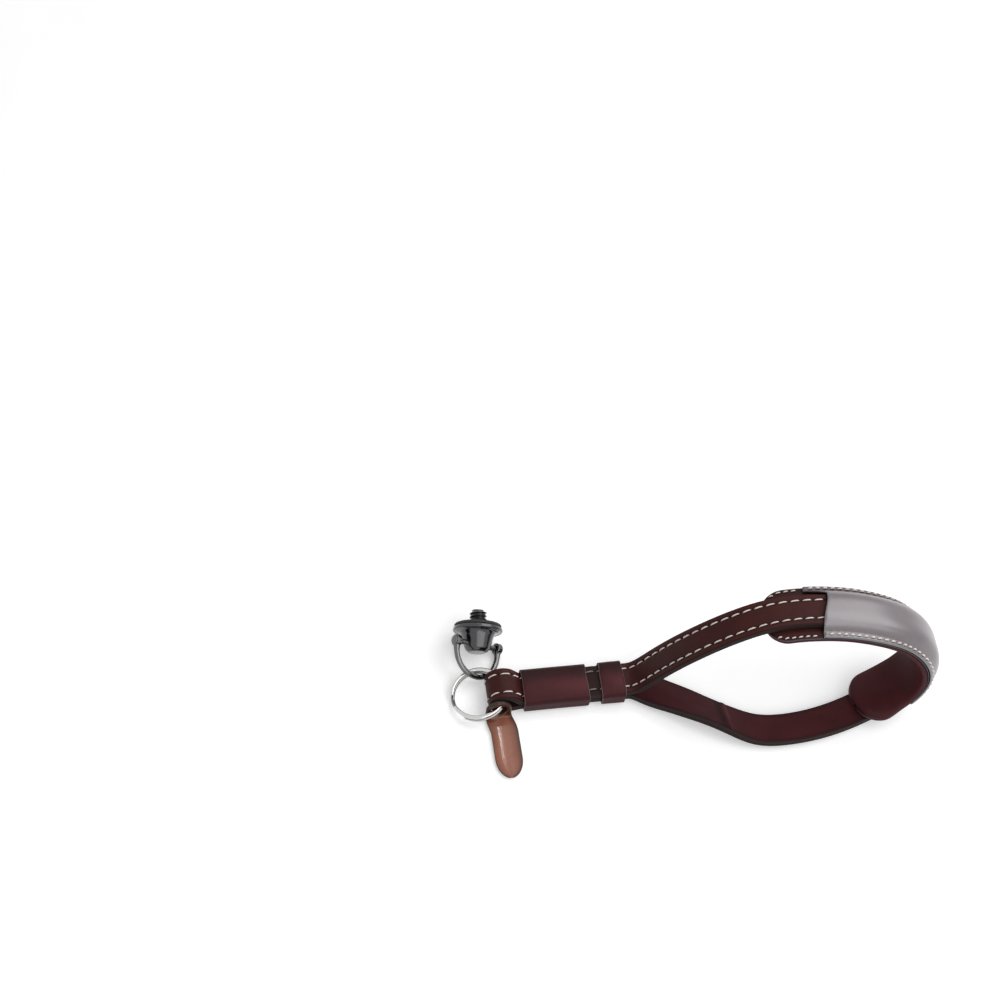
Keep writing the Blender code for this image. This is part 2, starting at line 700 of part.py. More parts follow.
def add_bail(parent, finish):
    """A bent wire with a round arch and a flat ear at each end, in the pin's own frame."""
    length = BAIL_STRAIGHT
    path = [(0.0, -BAIL_HALF)]
    steps = 18
    for i in range(steps + 1):
        a = math.pi * i / steps - math.pi / 2
        path.append((length + BAIL_HALF * math.cos(a), BAIL_HALF * math.sin(a)))
    path.append((0.0, BAIL_HALF))
    section = circle(BAIL_WIRE / 2, 8, turn=0.5)
    rings = []
    for i, (x, y) in enumerate(path):
        before, after = path[max(i - 1, 0)], path[min(i + 1, len(path) - 1)]
        run = Vector((after[0] - before[0], after[1] - before[1], 0.0)).normalized()
        side = Vector((-run.y, run.x, 0.0))
        rings.append([Vector((x, y, 0.0)) + side * p + Vector((0.0, 0.0, q)) for p, q in section])
    made = add_loft("bail", rings, finish)
    made.parent = parent
    for hand in (-1, 1):
        middle = hand * BAIL_HALF
        ear = add_shaft(f"bail_ear_{hand + 2}", [(middle - EAR_THICK / 2, EAR_RADIUS),
                                                 (middle + EAR_THICK / 2, EAR_RADIUS)], (0, 1, 0), None, 20)
        ear.parent = parent
        cut(made, ear, "UNION")
    bore = add_shaft("bail_bore", [(-2 * BAIL_HALF, PIN_DIAMETER / 2 + GAP),
                                   (2 * BAIL_HALF, PIN_DIAMETER / 2 + GAP)], (0, 1, 0), None, 16)
    bore.parent = parent
    cut(made, bore)
    return made


def add_pin(parent, finish):
    """The riveted pin through the bail's ears and the screw's boss."""
    shank = BAIL_HALF + EAR_THICK / 2 + GAP
    head, face = PIN_HEAD_DIAMETER / 2, shank + PIN_HEAD_THICK
    outline = [(-face, head * PIN_HEAD_FACE), (-shank - PIN_HEAD_THICK / 2, head), (-shank, head),
               (-shank, PIN_DIAMETER / 2)]
    outline += [(-x, r) for x, r in reversed(outline)]
    made = add_shaft("pivot_pin", outline, (0, 1, 0), finish, 16)
    made.parent = parent
    return made


def add_tripod_screw(parent, finish):
    """Flange, conical boss and stud turned from one bar, with a cross bore for the pin."""
    face = -FLANGE_TO_PIN
    back = face - FLANGE_THICK
    rim = FLANGE_DIAMETER / 2
    stud = STUD_DIAMETER / 2
    tip = back - STUD_LENGTH
    outline = [
        (tip, stud - STUD_EDGE), (tip + STUD_EDGE, stud), (back, stud), (back, rim - FLANGE_EDGE),
        (back + FLANGE_EDGE, rim), (face - FLANGE_EDGE, rim), (face, rim - FLANGE_EDGE),
        (face, BOSS_BASE_DIAMETER / 2), (face + BOSS_LENGTH - BOSS_EDGE, BOSS_TIP_DIAMETER / 2),
        (face + BOSS_LENGTH, BOSS_TIP_DIAMETER / 2 - BOSS_EDGE),
    ]
    made = add_shaft("tripod_screw", outline, (1, 0, 0), finish, 40)
    made.parent = parent
    bore = add_shaft("screw_bore", [(-FLANGE_DIAMETER / 2, PIN_DIAMETER / 2 + GAP),
                                    (FLANGE_DIAMETER / 2, PIN_DIAMETER / 2 + GAP)], (0, 1, 0), None, 16)
    bore.parent = parent
    cut(made, bore)
    return made


def add_washer(parent, finish):
    """The soft washer that seats on the flange round the stud."""
    face = -FLANGE_TO_PIN - FLANGE_THICK - GAP
    inner, outer = STUD_DIAMETER / 2 + GAP, WASHER_DIAMETER / 2
    seat = face - WASHER_THICK
    outline = [(face, inner), (face, outer - WASHER_EDGE), (face - WASHER_EDGE, outer),
               (seat + WASHER_EDGE, outer), (seat, outer - WASHER_EDGE), (seat, inner)]
    made = add_turned("seat_washer", outline, (1, 0, 0), finish, 36)
    made.parent = parent
    return made


def tag_half(at, length):
    """Half the tag's width along its run: round at the hole, a slight waist, then a tongue."""
    if at < TAG_NECK_HALF:
        return max(math.sqrt(TAG_NECK_HALF**2 - (TAG_NECK_HALF - at)**2), TAG_TIP_HALF)
    tongue = TAG_HALF * TAG_TONGUE
    if at > length - tongue:
        share = (at - (length - tongue)) / tongue
        return max(TAG_HALF * math.sqrt(max(1 - share**2, 0.0)), TAG_TIP_HALF)
    share = min((at - TAG_NECK_HALF) / (TAG_REACH * TAG_SPREAD), 1.0)
    return TAG_NECK_HALF + (TAG_HALF - TAG_NECK_HALF) * (3 * share**2 - 2 * share**3)


def add_tag(parent, hole, finish):
    """A leather tongue with its hole round the ring, bent forwards to lie on the surface."""
    stand_y = -STRAP_HALF - GAP - TAG_THICK / 2
    lie_z = TAG_THICK / 2 + FLOOR_GAP
    top_z = hole.z + TAG_NECK_HALF
    reach = stand_y - TAG_REACH
    points = [(hole.x, stand_y, z) for z in np.linspace(top_z, lie_z + TAG_BEND, 8)]
    for i in range(1, 9):
        a = math.radians(90 * i / 8)
        points.append((hole.x, stand_y - TAG_BEND + TAG_BEND * math.cos(a),
                       lie_z + TAG_BEND - TAG_BEND * math.sin(a)))
    for y in np.linspace(stand_y - TAG_BEND, reach, 16)[1:]:
        points.append((hole.x, y, lie_z))
    points = np.array(points)
    forward = np.clip((stand_y - points[:, 1]) / (TAG_REACH * TAG_LEAN), 0, 1)
    points[:, 0] += TAG_SHIFT * (forward * forward * (3 - 2 * forward))
    track = Track(points, np.zeros(len(points)), (1.0, 0.0, 0.0), turn_step=14.0, longest_step=2.2)
    length = track.length()
    tips = [0.02 * length * k for k in (1, 2, 4, 6)]
    stations = track.stations(0.0, length, tips + [length - t for t in tips])

    def profile(at):
        half, side = tag_half(at, length), TAG_THICK / 2
        soft = min(TAG_EDGE, half / 2)
        right = [(half - soft, -side), (half, -side + soft), (half, side - soft), (half - soft, side)]
        return right + [(-a, o) for a, o in reversed(right)]

    made = add_strip("tag", track, stations, profile, finish)
    bore = add_shaft("tag_bore", [(stand_y - TAG_THICK, TAG_HOLE / 2), (stand_y + TAG_THICK, TAG_HOLE / 2)],
                     (0, 1, 0), None, 20)
    bore.location = Vector((hole.x, 0.0, hole.z)) * MM
    cut(made, bore)
    for item in (made, bore):
        item.parent = parent
        item.matrix_parent_inverse = parent.matrix_world.inverted()
    return made


def add_empty(name, place, axes=None):
    """An empty at a joint, in millimetres, with its own axes if they are turned."""
    made = bpy.data.objects.new(name, None)
    bpy.context.scene.collection.objects.link(made)
    matrix = Matrix.Translation(Vector(place) * MM)
    if axes is not None:
        turned = Matrix(axes).transposed().to_4x4()
        matrix = matrix @ turned
    made.matrix_world = matrix
    return made


def main():
    clear_scene()
    finishes = {
        "leather": material("strap_leather", LEATHER, 0.45),
        "sleeve": material("sleeve_leather", LEATHER_RED, 0.42),
        "inner": material("lining_leather", INNER_LEATHER, 0.6),
        "gloss": material("pad_cover_leather", LEATHER, 0.25),
        "foam": material("pad_foam", FOAM, 0.9),
        "thread": material("cream_thread", CREAM, 0.7),
        "dark_thread": material("dark_thread", LEATHER, 0.7),
        "tan": material("tag_leather", TAN, 0.35),
        "steel": material("polished_steel", STEEL, 0.15, 1.0),
        "dark_steel": material("dark_plated_steel", DARK_STEEL, 0.22, 1.0),
        "rubber": material("washer_rubber", RUBBER, 0.8),
    }

    middle, rolls, marks = strap_route()
    strap = Track(middle, rolls, (0.0, 1.0, 0.0), marks)
    whole = strap.stations(0.0, strap.length())
    add_strip("strap_outer", strap, whole, strap_outer_profile(), finishes["leather"])
    add_strip("strap_lining", strap, whole, lining_profile(), finishes["inner"])

    pad = pad_track(middle, rolls)
    pad_start = (pad.length() - PAD_LENGTH) / 2
    pad_end = pad_start + PAD_LENGTH
    add_pad(pad, pad_start, pad_end, finishes)

    cover_reach = PAD_LENGTH / 2 - COVER_SETBACK
    upper_end, eye_start, eye_end, lower_end = marks
    bands = [(upper_end + STRAIGHT_PAST_KEEPER, upper_end + STRAIGHT_PAST_KEEPER + KEEPER_LENGTH),
             (eye_start - SLEEVE_LENGTH, eye_start), (eye_end, eye_end + SLEEVE_LENGTH),
             (lower_end - STRAIGHT_PAST_KEEPER - KEEPER_LENGTH, lower_end - STRAIGHT_PAST_KEEPER)]
    hidden = [(-1.0, cover_reach), (strap.length() - cover_reach, strap.length() + 1.0)]
    hidden += [(a - KEEPER_TO_SLEEVE, b + KEEPER_TO_SLEEVE) for a, b in bands]
    row = STRAP_HALF - STITCH_INSET
    add_stitch_row("strap_thread_far", strap, row, hidden, finishes["thread"])
    add_stitch_row("strap_thread_near", strap, -row, hidden, finishes["thread"])

    add_band("sleeve", -SLEEVE_END, SLEEVE_END, SLEEVE_WALL, SLEEVE_CORNER, finishes["sleeve"])
    add_seam_thread("sleeve_seam_thread", -SLEEVE_END, SLEEVE_END, SLEEVE_WALL, finishes["dark_thread"])
    keeper_axis = add_empty("keeper_axis", (KEEPER_START, 0.0, 0.0))
    keeper = add_band("keeper", 0.0, KEEPER_LENGTH, KEEPER_WALL, SLEEVE_CORNER, finishes["sleeve"])
    keeper_thread = add_seam_thread("keeper_seam_thread", 0.0, KEEPER_LENGTH, KEEPER_WALL,
                                    finishes["dark_thread"])
    for item in (keeper, keeper_thread):
        item.parent = keeper_axis

    ring_axis = add_empty("ring_axis", (EYE_X, 0.0, EYE_Z))
    add_split_ring(ring_axis, finishes["steel"])
    spot, reach, pin, normal = hardware_frame()
    screw_axis = add_empty("screw_axis", spot, (reach, pin, normal))
    add_bail(screw_axis, finishes["steel"])
    add_pin(screw_axis, finishes["steel"])
    add_tripod_screw(screw_axis, finishes["dark_steel"])
    add_washer(screw_axis, finishes["rubber"])

    radius, _, _ = ring_frame()
    stand_y = STRAP_HALF + GAP + TAG_THICK / 2
    hole = ring_point(-math.asin(stand_y / radius))
    tag_axis = add_empty("tag_axis", hole)
    bpy.context.view_layer.update()
    add_tag(tag_axis, hole, finishes["tan"])


def pad_track(middle, rolls):
    """The pad's own track: the strap's two ends joined across the gap under the cover."""
    reach = PAD_LENGTH / 2 + PAD_END_RADIUS
    length = run_length(middle)
    first = length <= reach
    last = length >= length[-1] - reach
    joined = np.vstack((middle[last], middle[first]))
    return Track(joined, np.concatenate((rolls[last], rolls[first])), (0.0, 1.0, 0.0))


main()
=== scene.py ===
"""Leather wrist strap with a padded loop: its surfaces, stitching, hardware and finishes.

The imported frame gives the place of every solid. Each piece below is a surface worked out with
numpy in the frame's own millimetres, and it rides on the body that carries its solid.
"""

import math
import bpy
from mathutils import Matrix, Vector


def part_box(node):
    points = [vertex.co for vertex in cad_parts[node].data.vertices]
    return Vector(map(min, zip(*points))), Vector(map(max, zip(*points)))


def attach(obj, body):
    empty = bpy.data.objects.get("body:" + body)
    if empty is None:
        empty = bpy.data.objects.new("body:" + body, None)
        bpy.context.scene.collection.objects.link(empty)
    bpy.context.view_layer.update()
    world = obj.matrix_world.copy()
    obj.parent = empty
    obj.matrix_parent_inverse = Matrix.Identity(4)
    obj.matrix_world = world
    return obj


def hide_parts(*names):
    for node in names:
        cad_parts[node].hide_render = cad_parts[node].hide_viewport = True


bl_info = {
    "name": "Wrist Strap Dresser",
    "version": (1, 0, 0),
    "blender": (4, 5, 0),
    "location": "View3D > Sidebar > Strap",
    "description": "Models and finishes a leather wrist strap with a padded loop",
    "category": "Add Mesh",
}

import bpy
import numpy as np
from bpy.props import FloatProperty, FloatVectorProperty, PointerProperty
from mathutils import Matrix, Vector

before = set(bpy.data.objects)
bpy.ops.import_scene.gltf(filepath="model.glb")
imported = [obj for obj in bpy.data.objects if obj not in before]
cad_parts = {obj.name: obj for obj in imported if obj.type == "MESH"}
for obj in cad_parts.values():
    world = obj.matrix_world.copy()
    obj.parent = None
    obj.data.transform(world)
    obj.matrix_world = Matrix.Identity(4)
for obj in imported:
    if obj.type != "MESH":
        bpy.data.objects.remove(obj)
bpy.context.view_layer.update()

MM = 0.001
TAU = 2 * math.pi


def node_box(name):
    """A node's lowest and highest corner in millimetres."""
    low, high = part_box(name)
    return np.array(low) / MM, np.array(high) / MM


# Bands round the two legs, read from the frame
SLEEVE_LOW, SLEEVE_HIGH = node_box("sleeve")
KEEPER_LOW, KEEPER_HIGH = node_box("keeper")
BAND_CORNER = 2.4

# Strap leather
GAP = 0.3
OUTER_THICK = 1.3
LINING_THICK = 1.0
STRAP_THICK = OUTER_THICK + GAP + LINING_THICK
FACE = STRAP_THICK / 2
BAND_WALL = 1.0
LOWER_LEG = SLEEVE_LOW[2] + BAND_WALL + GAP + FACE
UPPER_LEG = LOWER_LEG + STRAP_THICK + GAP
LOOP_START = KEEPER_HIGH[0] + 1.6
STRAP_END_GAP = 1.0

# Crease across the lower leg's inner face: its length past the keeper, slant and height
FOLD_AT, FOLD_SLANT, FOLD_RISE = 38.0, 0.55, 0.35

# Eye round the split ring
EYE_RADIUS = 4.25
EYE_NECK = 7.3
NECK_AT, NECK_RISE, NECK_FALL = 0.45, 1.3, 2.0
EYE_X = SLEEVE_LOW[0] - EYE_NECK
EYE_Z = EYE_RADIUS + FACE + 0.4

# Padded loop: share of its reach, then Y, Z and roll in degrees of the strap's middle
LOOP_REACH = 106.0
LOOP_ROUTE = (
    (0.0725, -3.6, 2.6, 4.0), (0.1550, -8.8, 3.2, 14.0), (0.2174, -13.0, 4.0, 20.0),
    (0.2771, -16.8, 4.2, 20.0), (0.3385, -20.4, 3.6, 14.0), (0.4028, -23.3, 2.7, 7.0),
    (0.5083, -24.5, 2.45, 6.0), (0.6367, -23.2, 2.95, 5.0), (0.7651, -19.4, 3.1, 5.0),
    (0.8752, -15.0, 3.9, 5.0), (0.9584, -12.7, 10.0, 3.0), (0.9929, -11.3, 20.5, 0.0),
    (0.9710, -9.9, 31.5, 0.0), (0.9051, -7.7, 40.0, 0.0), (0.8070, -6.0, 45.6, 0.0),
    (0.6969, -4.2, 48.3, 0.0), (0.5776, -3.0, 49.2, 0.0), (0.4446, -2.3, 47.6, 0.0),
    (0.3121, -2.8, 42.3, 0.0), (0.1990, -2.5, 32.4, 0.0), (0.1219, -1.2, 21.3, 0.0),
    (0.0579, -0.2, 10.5, 0.0),
)
PAD_END_ROW = 16                        # the route's row just before the pad's upper end

# Pad
PAD_LENGTH = 115.0
PAD_START = 42.0                # from the loop's start, along X, to the pad's upper end
PAD_END_RADIUS = 9.0
COVER_SETBACK = 21.0
BASE_THICK = 0.9
CORE_THICK = 1.2
LINING_SKIN = 0.7
COVER_THICK = 1.0
COVER_SIDE_CLEAR = 0.4
PAD_STITCH_INSET = 1.1

# Hardware
RING_OUTER = 20.5
RING_COIL_GAP = 0.3
RING_CROSS_ANGLE = 22.0
RING_CROSS_AT = 200.0
RING_END = 1.25                 # share of the crossing that each wire end stops short
RING_REST = 0.15                # allowance at the ring's low side
BAIL_HALF = 9.3
BAIL_STRAIGHT = 2.5
BAIL_SLACK = 0.7
BAIL_TILT, BAIL_ROLL, BAIL_HEADING = 15.5, 35.5, 9.0
EAR_RADIUS, EAR_THICK = 2.15, 2.0
PIN_DIAMETER, PIN_HEAD_DIAMETER, PIN_HEAD_THICK = 2.0, 3.4, 0.6
FLANGE_DIAMETER, FLANGE_THICK, FLANGE_TO_PIN = 18.0, 1.6, 4.5
BOSS_BASE_DIAMETER, BOSS_TIP_DIAMETER, BOSS_LENGTH = 13.0, 9.0, 7.4
STUD_DIAMETER, STUD_LENGTH = 6.35, 6.6
THREAD_PITCH, THREAD_DEPTH = 1.27, 0.62
WASHER_DIAMETER, WASHER_THICK = 17.0, 1.2
FLOOR_GAP = 0.12

# Tag
TAG_THICK = 1.6
TAG_HALF = 4.9
TAG_NECK_HALF = 4.6
TAG_HOLE = 6.2
TAG_BEND = 2.4
TAG_REACH = 25.0
TAG_SHIFT = 1.4


def length_property(name, words, value, low, high):
    """A size with its default and its limits, given in millimetres."""
    return FloatProperty(name=name, description=words, default=value * MM, min=low * MM,
                         max=high * MM, unit="LENGTH")


class StrapSizes(bpy.types.PropertyGroup):
    """Sizes that a maker would choose for this strap."""

    width: length_property("Strap width", "Width of the leather strip", 12.0, 6, 20)
    pad_width: length_property("Pad width", "Width of the wrist pad", 20.6, 14, 30)
    stitch_pitch: length_property("Stitch pitch", "From one stitch to the next", 4.1, 1, 8)
    stitch_length: length_property("Stitch length", "Thread that shows in one stitch", 3.1, 0.5, 7)
    stitch_inset: length_property("Stitch inset", "From a row to the strap's edge", 2.4, 0.8, 4)
    thread: length_property("Thread", "Diameter of the stitching thread", 0.52, 0.2, 1.2)
    pad_pitch: length_property("Pad stitch pitch", "From one pad stitch to the next", 2.6, 1, 8)
    ring_wire: length_property("Ring wire", "Diameter of the split ring's wire", 1.5, 0.8, 2.5)
    bail_wire: length_property("Bail wire", "Diameter of the bail's wire", 2.0, 1, 3)
    distance: length_property("Viewing distance", "From the camera to the sleeve", 850, 200, 3000)


def colour_property(name, words, value):
    """A linear colour that shows as a swatch."""
    return FloatVectorProperty(name=name, description=words, default=value, subtype="COLOR", size=3,
                               min=0.0, max=1.0)


class StrapColours(bpy.types.PropertyGroup):
    """Finish colours, as linear values."""

    leather: colour_property("Strap leather", "Waxed brown outer leather", (0.041, 0.0092, 0.0078))
    sleeve: colour_property("Sleeve leather", "Oxblood sleeve and keeper", (0.055, 0.0108, 0.0132))
    lining: colour_property("Lining leather", "Smooth inner leather", (0.051, 0.0098, 0.0118))
    # The cover's grey-mauve colour is partly a painted sheen over dark brown leather.
    cover: colour_property("Pad cover leather", "Polished pad leather", (0.072, 0.050, 0.060))
    tag: colour_property("Tag leather", "Tan leather of the tag", (0.27, 0.098, 0.058))
    edge: colour_property("Cut edge", "Grey-brown of a cut leather edge", (0.25, 0.195, 0.185))
    thread: colour_property("Thread", "Waxed cream thread", (0.86, 0.75, 0.69))
    steel: colour_property("Nickel", "Polished nickel plate", (0.60, 0.60, 0.59))
    dark_steel: colour_property("Black nickel", "Plate of the tripod screw", (0.055, 0.055, 0.058))
    rubber: colour_property("Washer", "Black cork rubber", (0.018, 0.018, 0.018))


def size(name):
    """One size setting of the scene, in millimetres."""
    return getattr(bpy.context.scene.strap_sizes, name) / MM


def colour(name):
    """One colour setting as three numbers."""
    return tuple(getattr(bpy.context.scene.strap_colours, name))


def shade(values, factor):
    """A colour made darker or lighter by a factor."""
    return tuple(min(v * factor, 1.0) for v in values)


# Curves and frames


def unit(vectors):
    """Vectors scaled to length one along their last axis."""
    return vectors / np.linalg.norm(vectors, axis=-1, keepdims=True)


def run_length(points):
    """Length along a polyline at each of its points: the running sum of its steps."""
    return np.concatenate(([0.0], np.cumsum(np.linalg.norm(np.diff(points, axis=0), axis=1))))


def smooth_step(value, low, high):
    """Zero below low, one above high, and 3t^2 - 2t^3 between."""
    t = np.clip((value - low) / (high - low), 0.0, 1.0)
    return t * t * (3 - 2 * t)


def bell(value, width):
    """A bell curve, exp(-(value / width)^2)."""
    return np.exp(-(value / width) ** 2)


def clamped_spline(points, start_direction, end_direction, step=0.4):
    """Cubic spline through rows of numbers with set directions at its two ends.

    Chord length is the parameter. The slopes solve the usual tridiagonal system, and each piece
    is the Hermite cubic between two rows.
    """
    rows = np.asarray(points, float)
    chord = np.linalg.norm(np.diff(rows[:, :3], axis=0), axis=1)
    count = len(rows)
    before, after = chord[:-1], chord[1:]
    inner = np.arange(1, count - 1)
    system = np.zeros((count, count))
    system[0, 0] = system[-1, -1] = 1.0
    system[inner, inner - 1] = after
    system[inner, inner] = 2 * (before + after)
    system[inner, inner + 1] = before
    right_side = np.zeros_like(rows)
    right_side[0, :3], right_side[-1, :3] = start_direction, end_direction
    rise_before = (rows[1:-1] - rows[:-2]) / before[:, None]
    rise_after = (rows[2:] - rows[1:-1]) / after[:, None]
    right_side[1:-1] = 3 * (after[:, None] * rise_before + before[:, None] * rise_after)
    slopes = np.linalg.solve(system, right_side)
    pieces = []
    for i, length in enumerate(chord):
        t = np.linspace(0.0, 1.0, max(2, math.ceil(length / step)), endpoint=False)[:, None]
        places = (2 * t**3 - 3 * t**2 + 1) * rows[i] + (3 * t**2 - 2 * t**3) * rows[i + 1]
        bends = (t**3 - 2 * t**2 + t) * slopes[i] + (t**3 - t**2) * slopes[i + 1]
        pieces.append(places + length * bends)
    return np.vstack((*pieces, rows[-1:]))


class Run:
    """A path with a width direction and an outward direction at each of its points."""

    def __init__(self, middle, rolls, width_hint):
        self.at = run_length(middle)
        self.middle = middle
        ahead = unit(np.gradient(middle, self.at, axis=0))
        hint = np.asarray(width_hint, float)
        width = unit(hint - (ahead @ hint)[:, None] * ahead)
        outward = np.cross(width, ahead)
        angle = np.radians(rolls)[:, None]
        self.width = np.cos(angle) * width + np.sin(angle) * outward
        self.outward = np.cos(angle) * outward - np.sin(angle) * width

    def length(self):
        """Length of the whole path."""
        return self.at[-1]

    def place(self, at, across, out):
        """Points at lengths along the path, moved across its width and out of its face."""
        at, across, out = np.broadcast_arrays(at, across, out)

        def mixed(rows):
            return np.stack([np.interp(at, self.at, rows[:, k]) for k in range(3)], axis=-1)

        return (mixed(self.middle) + across[..., None] * mixed(self.width)
                + out[..., None] * mixed(self.outward))


def strap_runs():
    """The strap's own run, the pad's run and the lengths where the strap's stretches end.

    The loop is one clamped spline from the lower leg round to the upper leg. The strap starts
    under the pad's middle, follows the upper leg, the eye and the lower leg, and comes back.
    """
    start, end = (LOOP_START, 0.0, LOWER_LEG, 0.0), (LOOP_START, 0.0, UPPER_LEG, 0.0)
    route = [(LOOP_START + LOOP_REACH * share, *rest) for share, *rest in LOOP_ROUTE]
    loop = clamped_spline((start, *route, end), (1, 0, 0), (-1, 0, 0))
    lengths = run_length(loop[:, :3])
    on_top = (loop[:, 2] > UPPER_LEG + STRAP_THICK) & (loop[:, 0] < route[PAD_END_ROW][0])
    middle = np.interp(-LOOP_START - PAD_START, -loop[on_top, 0], lengths[on_top]) - PAD_LENGTH / 2
    first = loop[lengths >= middle + STRAP_END_GAP / 2]
    last = loop[lengths <= middle - STRAP_END_GAP / 2]
    top, low, left = EYE_Z + EYE_RADIUS, EYE_Z - EYE_RADIUS, SLEEVE_LOW[0]
    throat, diagonal = EYE_NECK * NECK_AT, EYE_RADIUS * math.sqrt(0.5)
    neck_top = (UPPER_LEG + NECK_RISE * top) / (1 + NECK_RISE)
    neck_low = (LOWER_LEG + NECK_FALL * low) / (1 + NECK_FALL)
    eye = clamped_spline((
        (left, 0, UPPER_LEG, 0), (left - throat, 0, neck_top, 0), (EYE_X, 0, top, 0),
        (EYE_X - diagonal, 0, EYE_Z + diagonal, 0), (EYE_X - EYE_RADIUS, 0, EYE_Z, 0),
        (EYE_X - diagonal, 0, EYE_Z - diagonal, 0), (EYE_X, 0, low, 0),
        (left - throat, 0, neck_low, 0), (left, 0, LOWER_LEG, 0),
    ), (-1, 0, 0), (1, 0, 0), step=0.2)
    reach = np.linspace(LOOP_START, left, 60)
    flat = np.zeros_like(reach)
    upper = np.stack((reach, flat, flat + UPPER_LEG, flat), axis=1)
    lower = np.stack((reach[::-1], flat, flat + LOWER_LEG, flat), axis=1)
    rows = np.vstack((first, upper[1:], eye[1:], lower[1:], last[1:]))
    marks = np.cumsum([len(first), len(upper) - 1, len(eye) - 1, len(lower) - 1]) - 1
    strap = Run(rows[:, :3], rows[:, 3], (0, 1, 0))
    tail = PAD_LENGTH / 2 + PAD_END_RADIUS
    joined = np.vstack((rows[strap.at >= strap.length() - tail], rows[strap.at <= tail]))
    return strap, Run(joined[:, :3], joined[:, 3], (0, 1, 0)), strap.at[marks]


STRAP, PAD, MARKS = strap_runs()
PAD_FROM = (PAD.length() - PAD_LENGTH) / 2
PAD_TO = PAD_FROM + PAD_LENGTH


# Meshes


SHARP_EDGE = math.radians(50)


def inside_out(vertices, faces):
    """Whether a closed mesh faces inwards: its volume, a sum of triple products, is below zero."""
    triples = np.array([(f[0], f[i], f[i + 1]) for f in faces for i in range(1, len(f) - 1)])
    a, b, c = (vertices[triples[:, k]] for k in range(3))
    return np.einsum("ij,ij->i", a, np.cross(b, c)).sum() < 0


def link(name, data):
    """A new object in the scene."""
    made = bpy.data.objects.new(name, data)
    bpy.context.scene.collection.objects.link(made)
    return made


def put(name, vertices, faces, finish, body, nodes, uv=None, marks=None):
    """A mesh object from arrays in millimetres, set to its material, body and nodes."""
    if inside_out(vertices, faces):
        faces = [tuple(reversed(f)) for f in faces]
        uv = None if uv is None else [list(reversed(corner)) for corner in uv]
    mesh = bpy.data.meshes.new(name)
    mesh.from_pydata(vertices * MM, [], faces)
    if uv is not None:
        layer = mesh.uv_layers.new(name="UVMap")
        pairs = np.array([pair for corner in uv for pair in corner], float)
        layer.data.foreach_set("uv", pairs.ravel() * MM)
    for label, values in (marks or {}).items():
        attribute = mesh.attributes.new(label, "FLOAT", "POINT")
        attribute.data.foreach_set("value", np.asarray(values, np.float32).ravel())
    mesh.shade_smooth()
    mesh.set_sharp_from_angle(angle=SHARP_EDGE)
    mesh.materials.append(finish)
    made = link(name, mesh)
    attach(made, body)
    if nodes:
        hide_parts(*nodes)
    return made


def grid_faces(rows, columns, wrap_rows=False):
    """Four-cornered faces over a grid of rings, as rows of corner numbers."""
    i = np.arange(rows if wrap_rows else rows - 1)[:, None]
    j = np.arange(columns)[None, :]
    up, right = (i + 1) % rows, (j + 1) % columns
    corners = (i * columns + j, i * columns + right, up * columns + right, up * columns + j)
    return np.stack(np.broadcast_arrays(*corners), axis=-1).reshape(-1, 4)


def skin(points, wrap_rows=False, strip=False, along=None, around=None, marks=None):
    """Vertices, faces, corner UVs and attributes of a tube of rings, closed by a fan at each end.

    Points have the shape rows x columns x 3. The UVs are the lengths given along the rows and
    around the columns, or else the grid numbers. A strip is a section that runs out and back, and
    faces from one side to the other close its ends.
    """
    rows, columns = points.shape[:2]
    vertices = points.reshape(-1, 3)
    quads = grid_faces(rows, columns, wrap_rows)
    along = np.arange(rows + 1.0) if along is None else np.append(along, 2 * along[-1] - along[-2])
    around = np.arange(columns + 1.0) if around is None else around
    i = np.repeat(np.arange(len(quads) // columns), columns)
    j = np.tile(np.arange(columns), len(quads) // columns)
    u = np.stack((along[i], along[i], along[i + 1], along[i + 1]), axis=1)
    v = np.stack((around[j], around[j + 1], around[j + 1], around[j]), axis=1)
    faces = [tuple(f) for f in quads.tolist()]
    uv = [list(map(tuple, corner)) for corner in np.stack((u, v), axis=-1).tolist()]
    marks = {label: list(np.broadcast_to(values, (rows, columns)).ravel())
             for label, values in (marks or {}).items()}
    if strip:
        for first, turn in ((0, 1), ((rows - 1) * columns, -1)):
            last = first + columns - 1
            for k in range(columns // 2 - 1):
                corners = (first + k, first + k + 1, last - k - 1, last - k)
                faces.append(corners[::turn])
                uv.append([(along[first // columns], around[k])] * 4)
    elif not wrap_rows:
        poles = np.stack((points[0].mean(axis=0), points[-1].mean(axis=0)))
        vertices = np.vstack((vertices, poles))
        for pole, row, turn in ((rows * columns, 0, -1), (rows * columns + 1, rows - 1, 1)):
            for k in range(columns):
                ends = (row * columns + k, row * columns + (k + 1) % columns)
                faces.append((pole, *ends[::turn]))
                uv.append([(along[row], around[k])] * 3)
        for values in marks.values():
            values += [float(np.mean(values[:columns])), float(np.mean(values[-columns:]))]
    return vertices, faces, uv, marks


def put_skin(name, points, finish, body, nodes, slot, **facts):
    """A piece made of one skinned grid."""
    vertices, faces, uv, marks = skin(points, **facts)
    return put(name, vertices, faces, finish, body, nodes, uv, marks)


def join_skins(parts):
    """Several skins as one set of arrays: corner numbers move on by the vertices before them."""
    vertices, faces, uv, marks, first = [], [], [], {}, 0
    for part_vertices, part_faces, part_uv, part_marks in parts:
        vertices.append(part_vertices)
        faces += [tuple(k + first for k in f) for f in part_faces]
        uv += part_uv
        for label, values in part_marks.items():
            marks.setdefault(label, []).extend(values)
        first += len(part_vertices)
    return np.vstack(vertices), faces, uv, marks


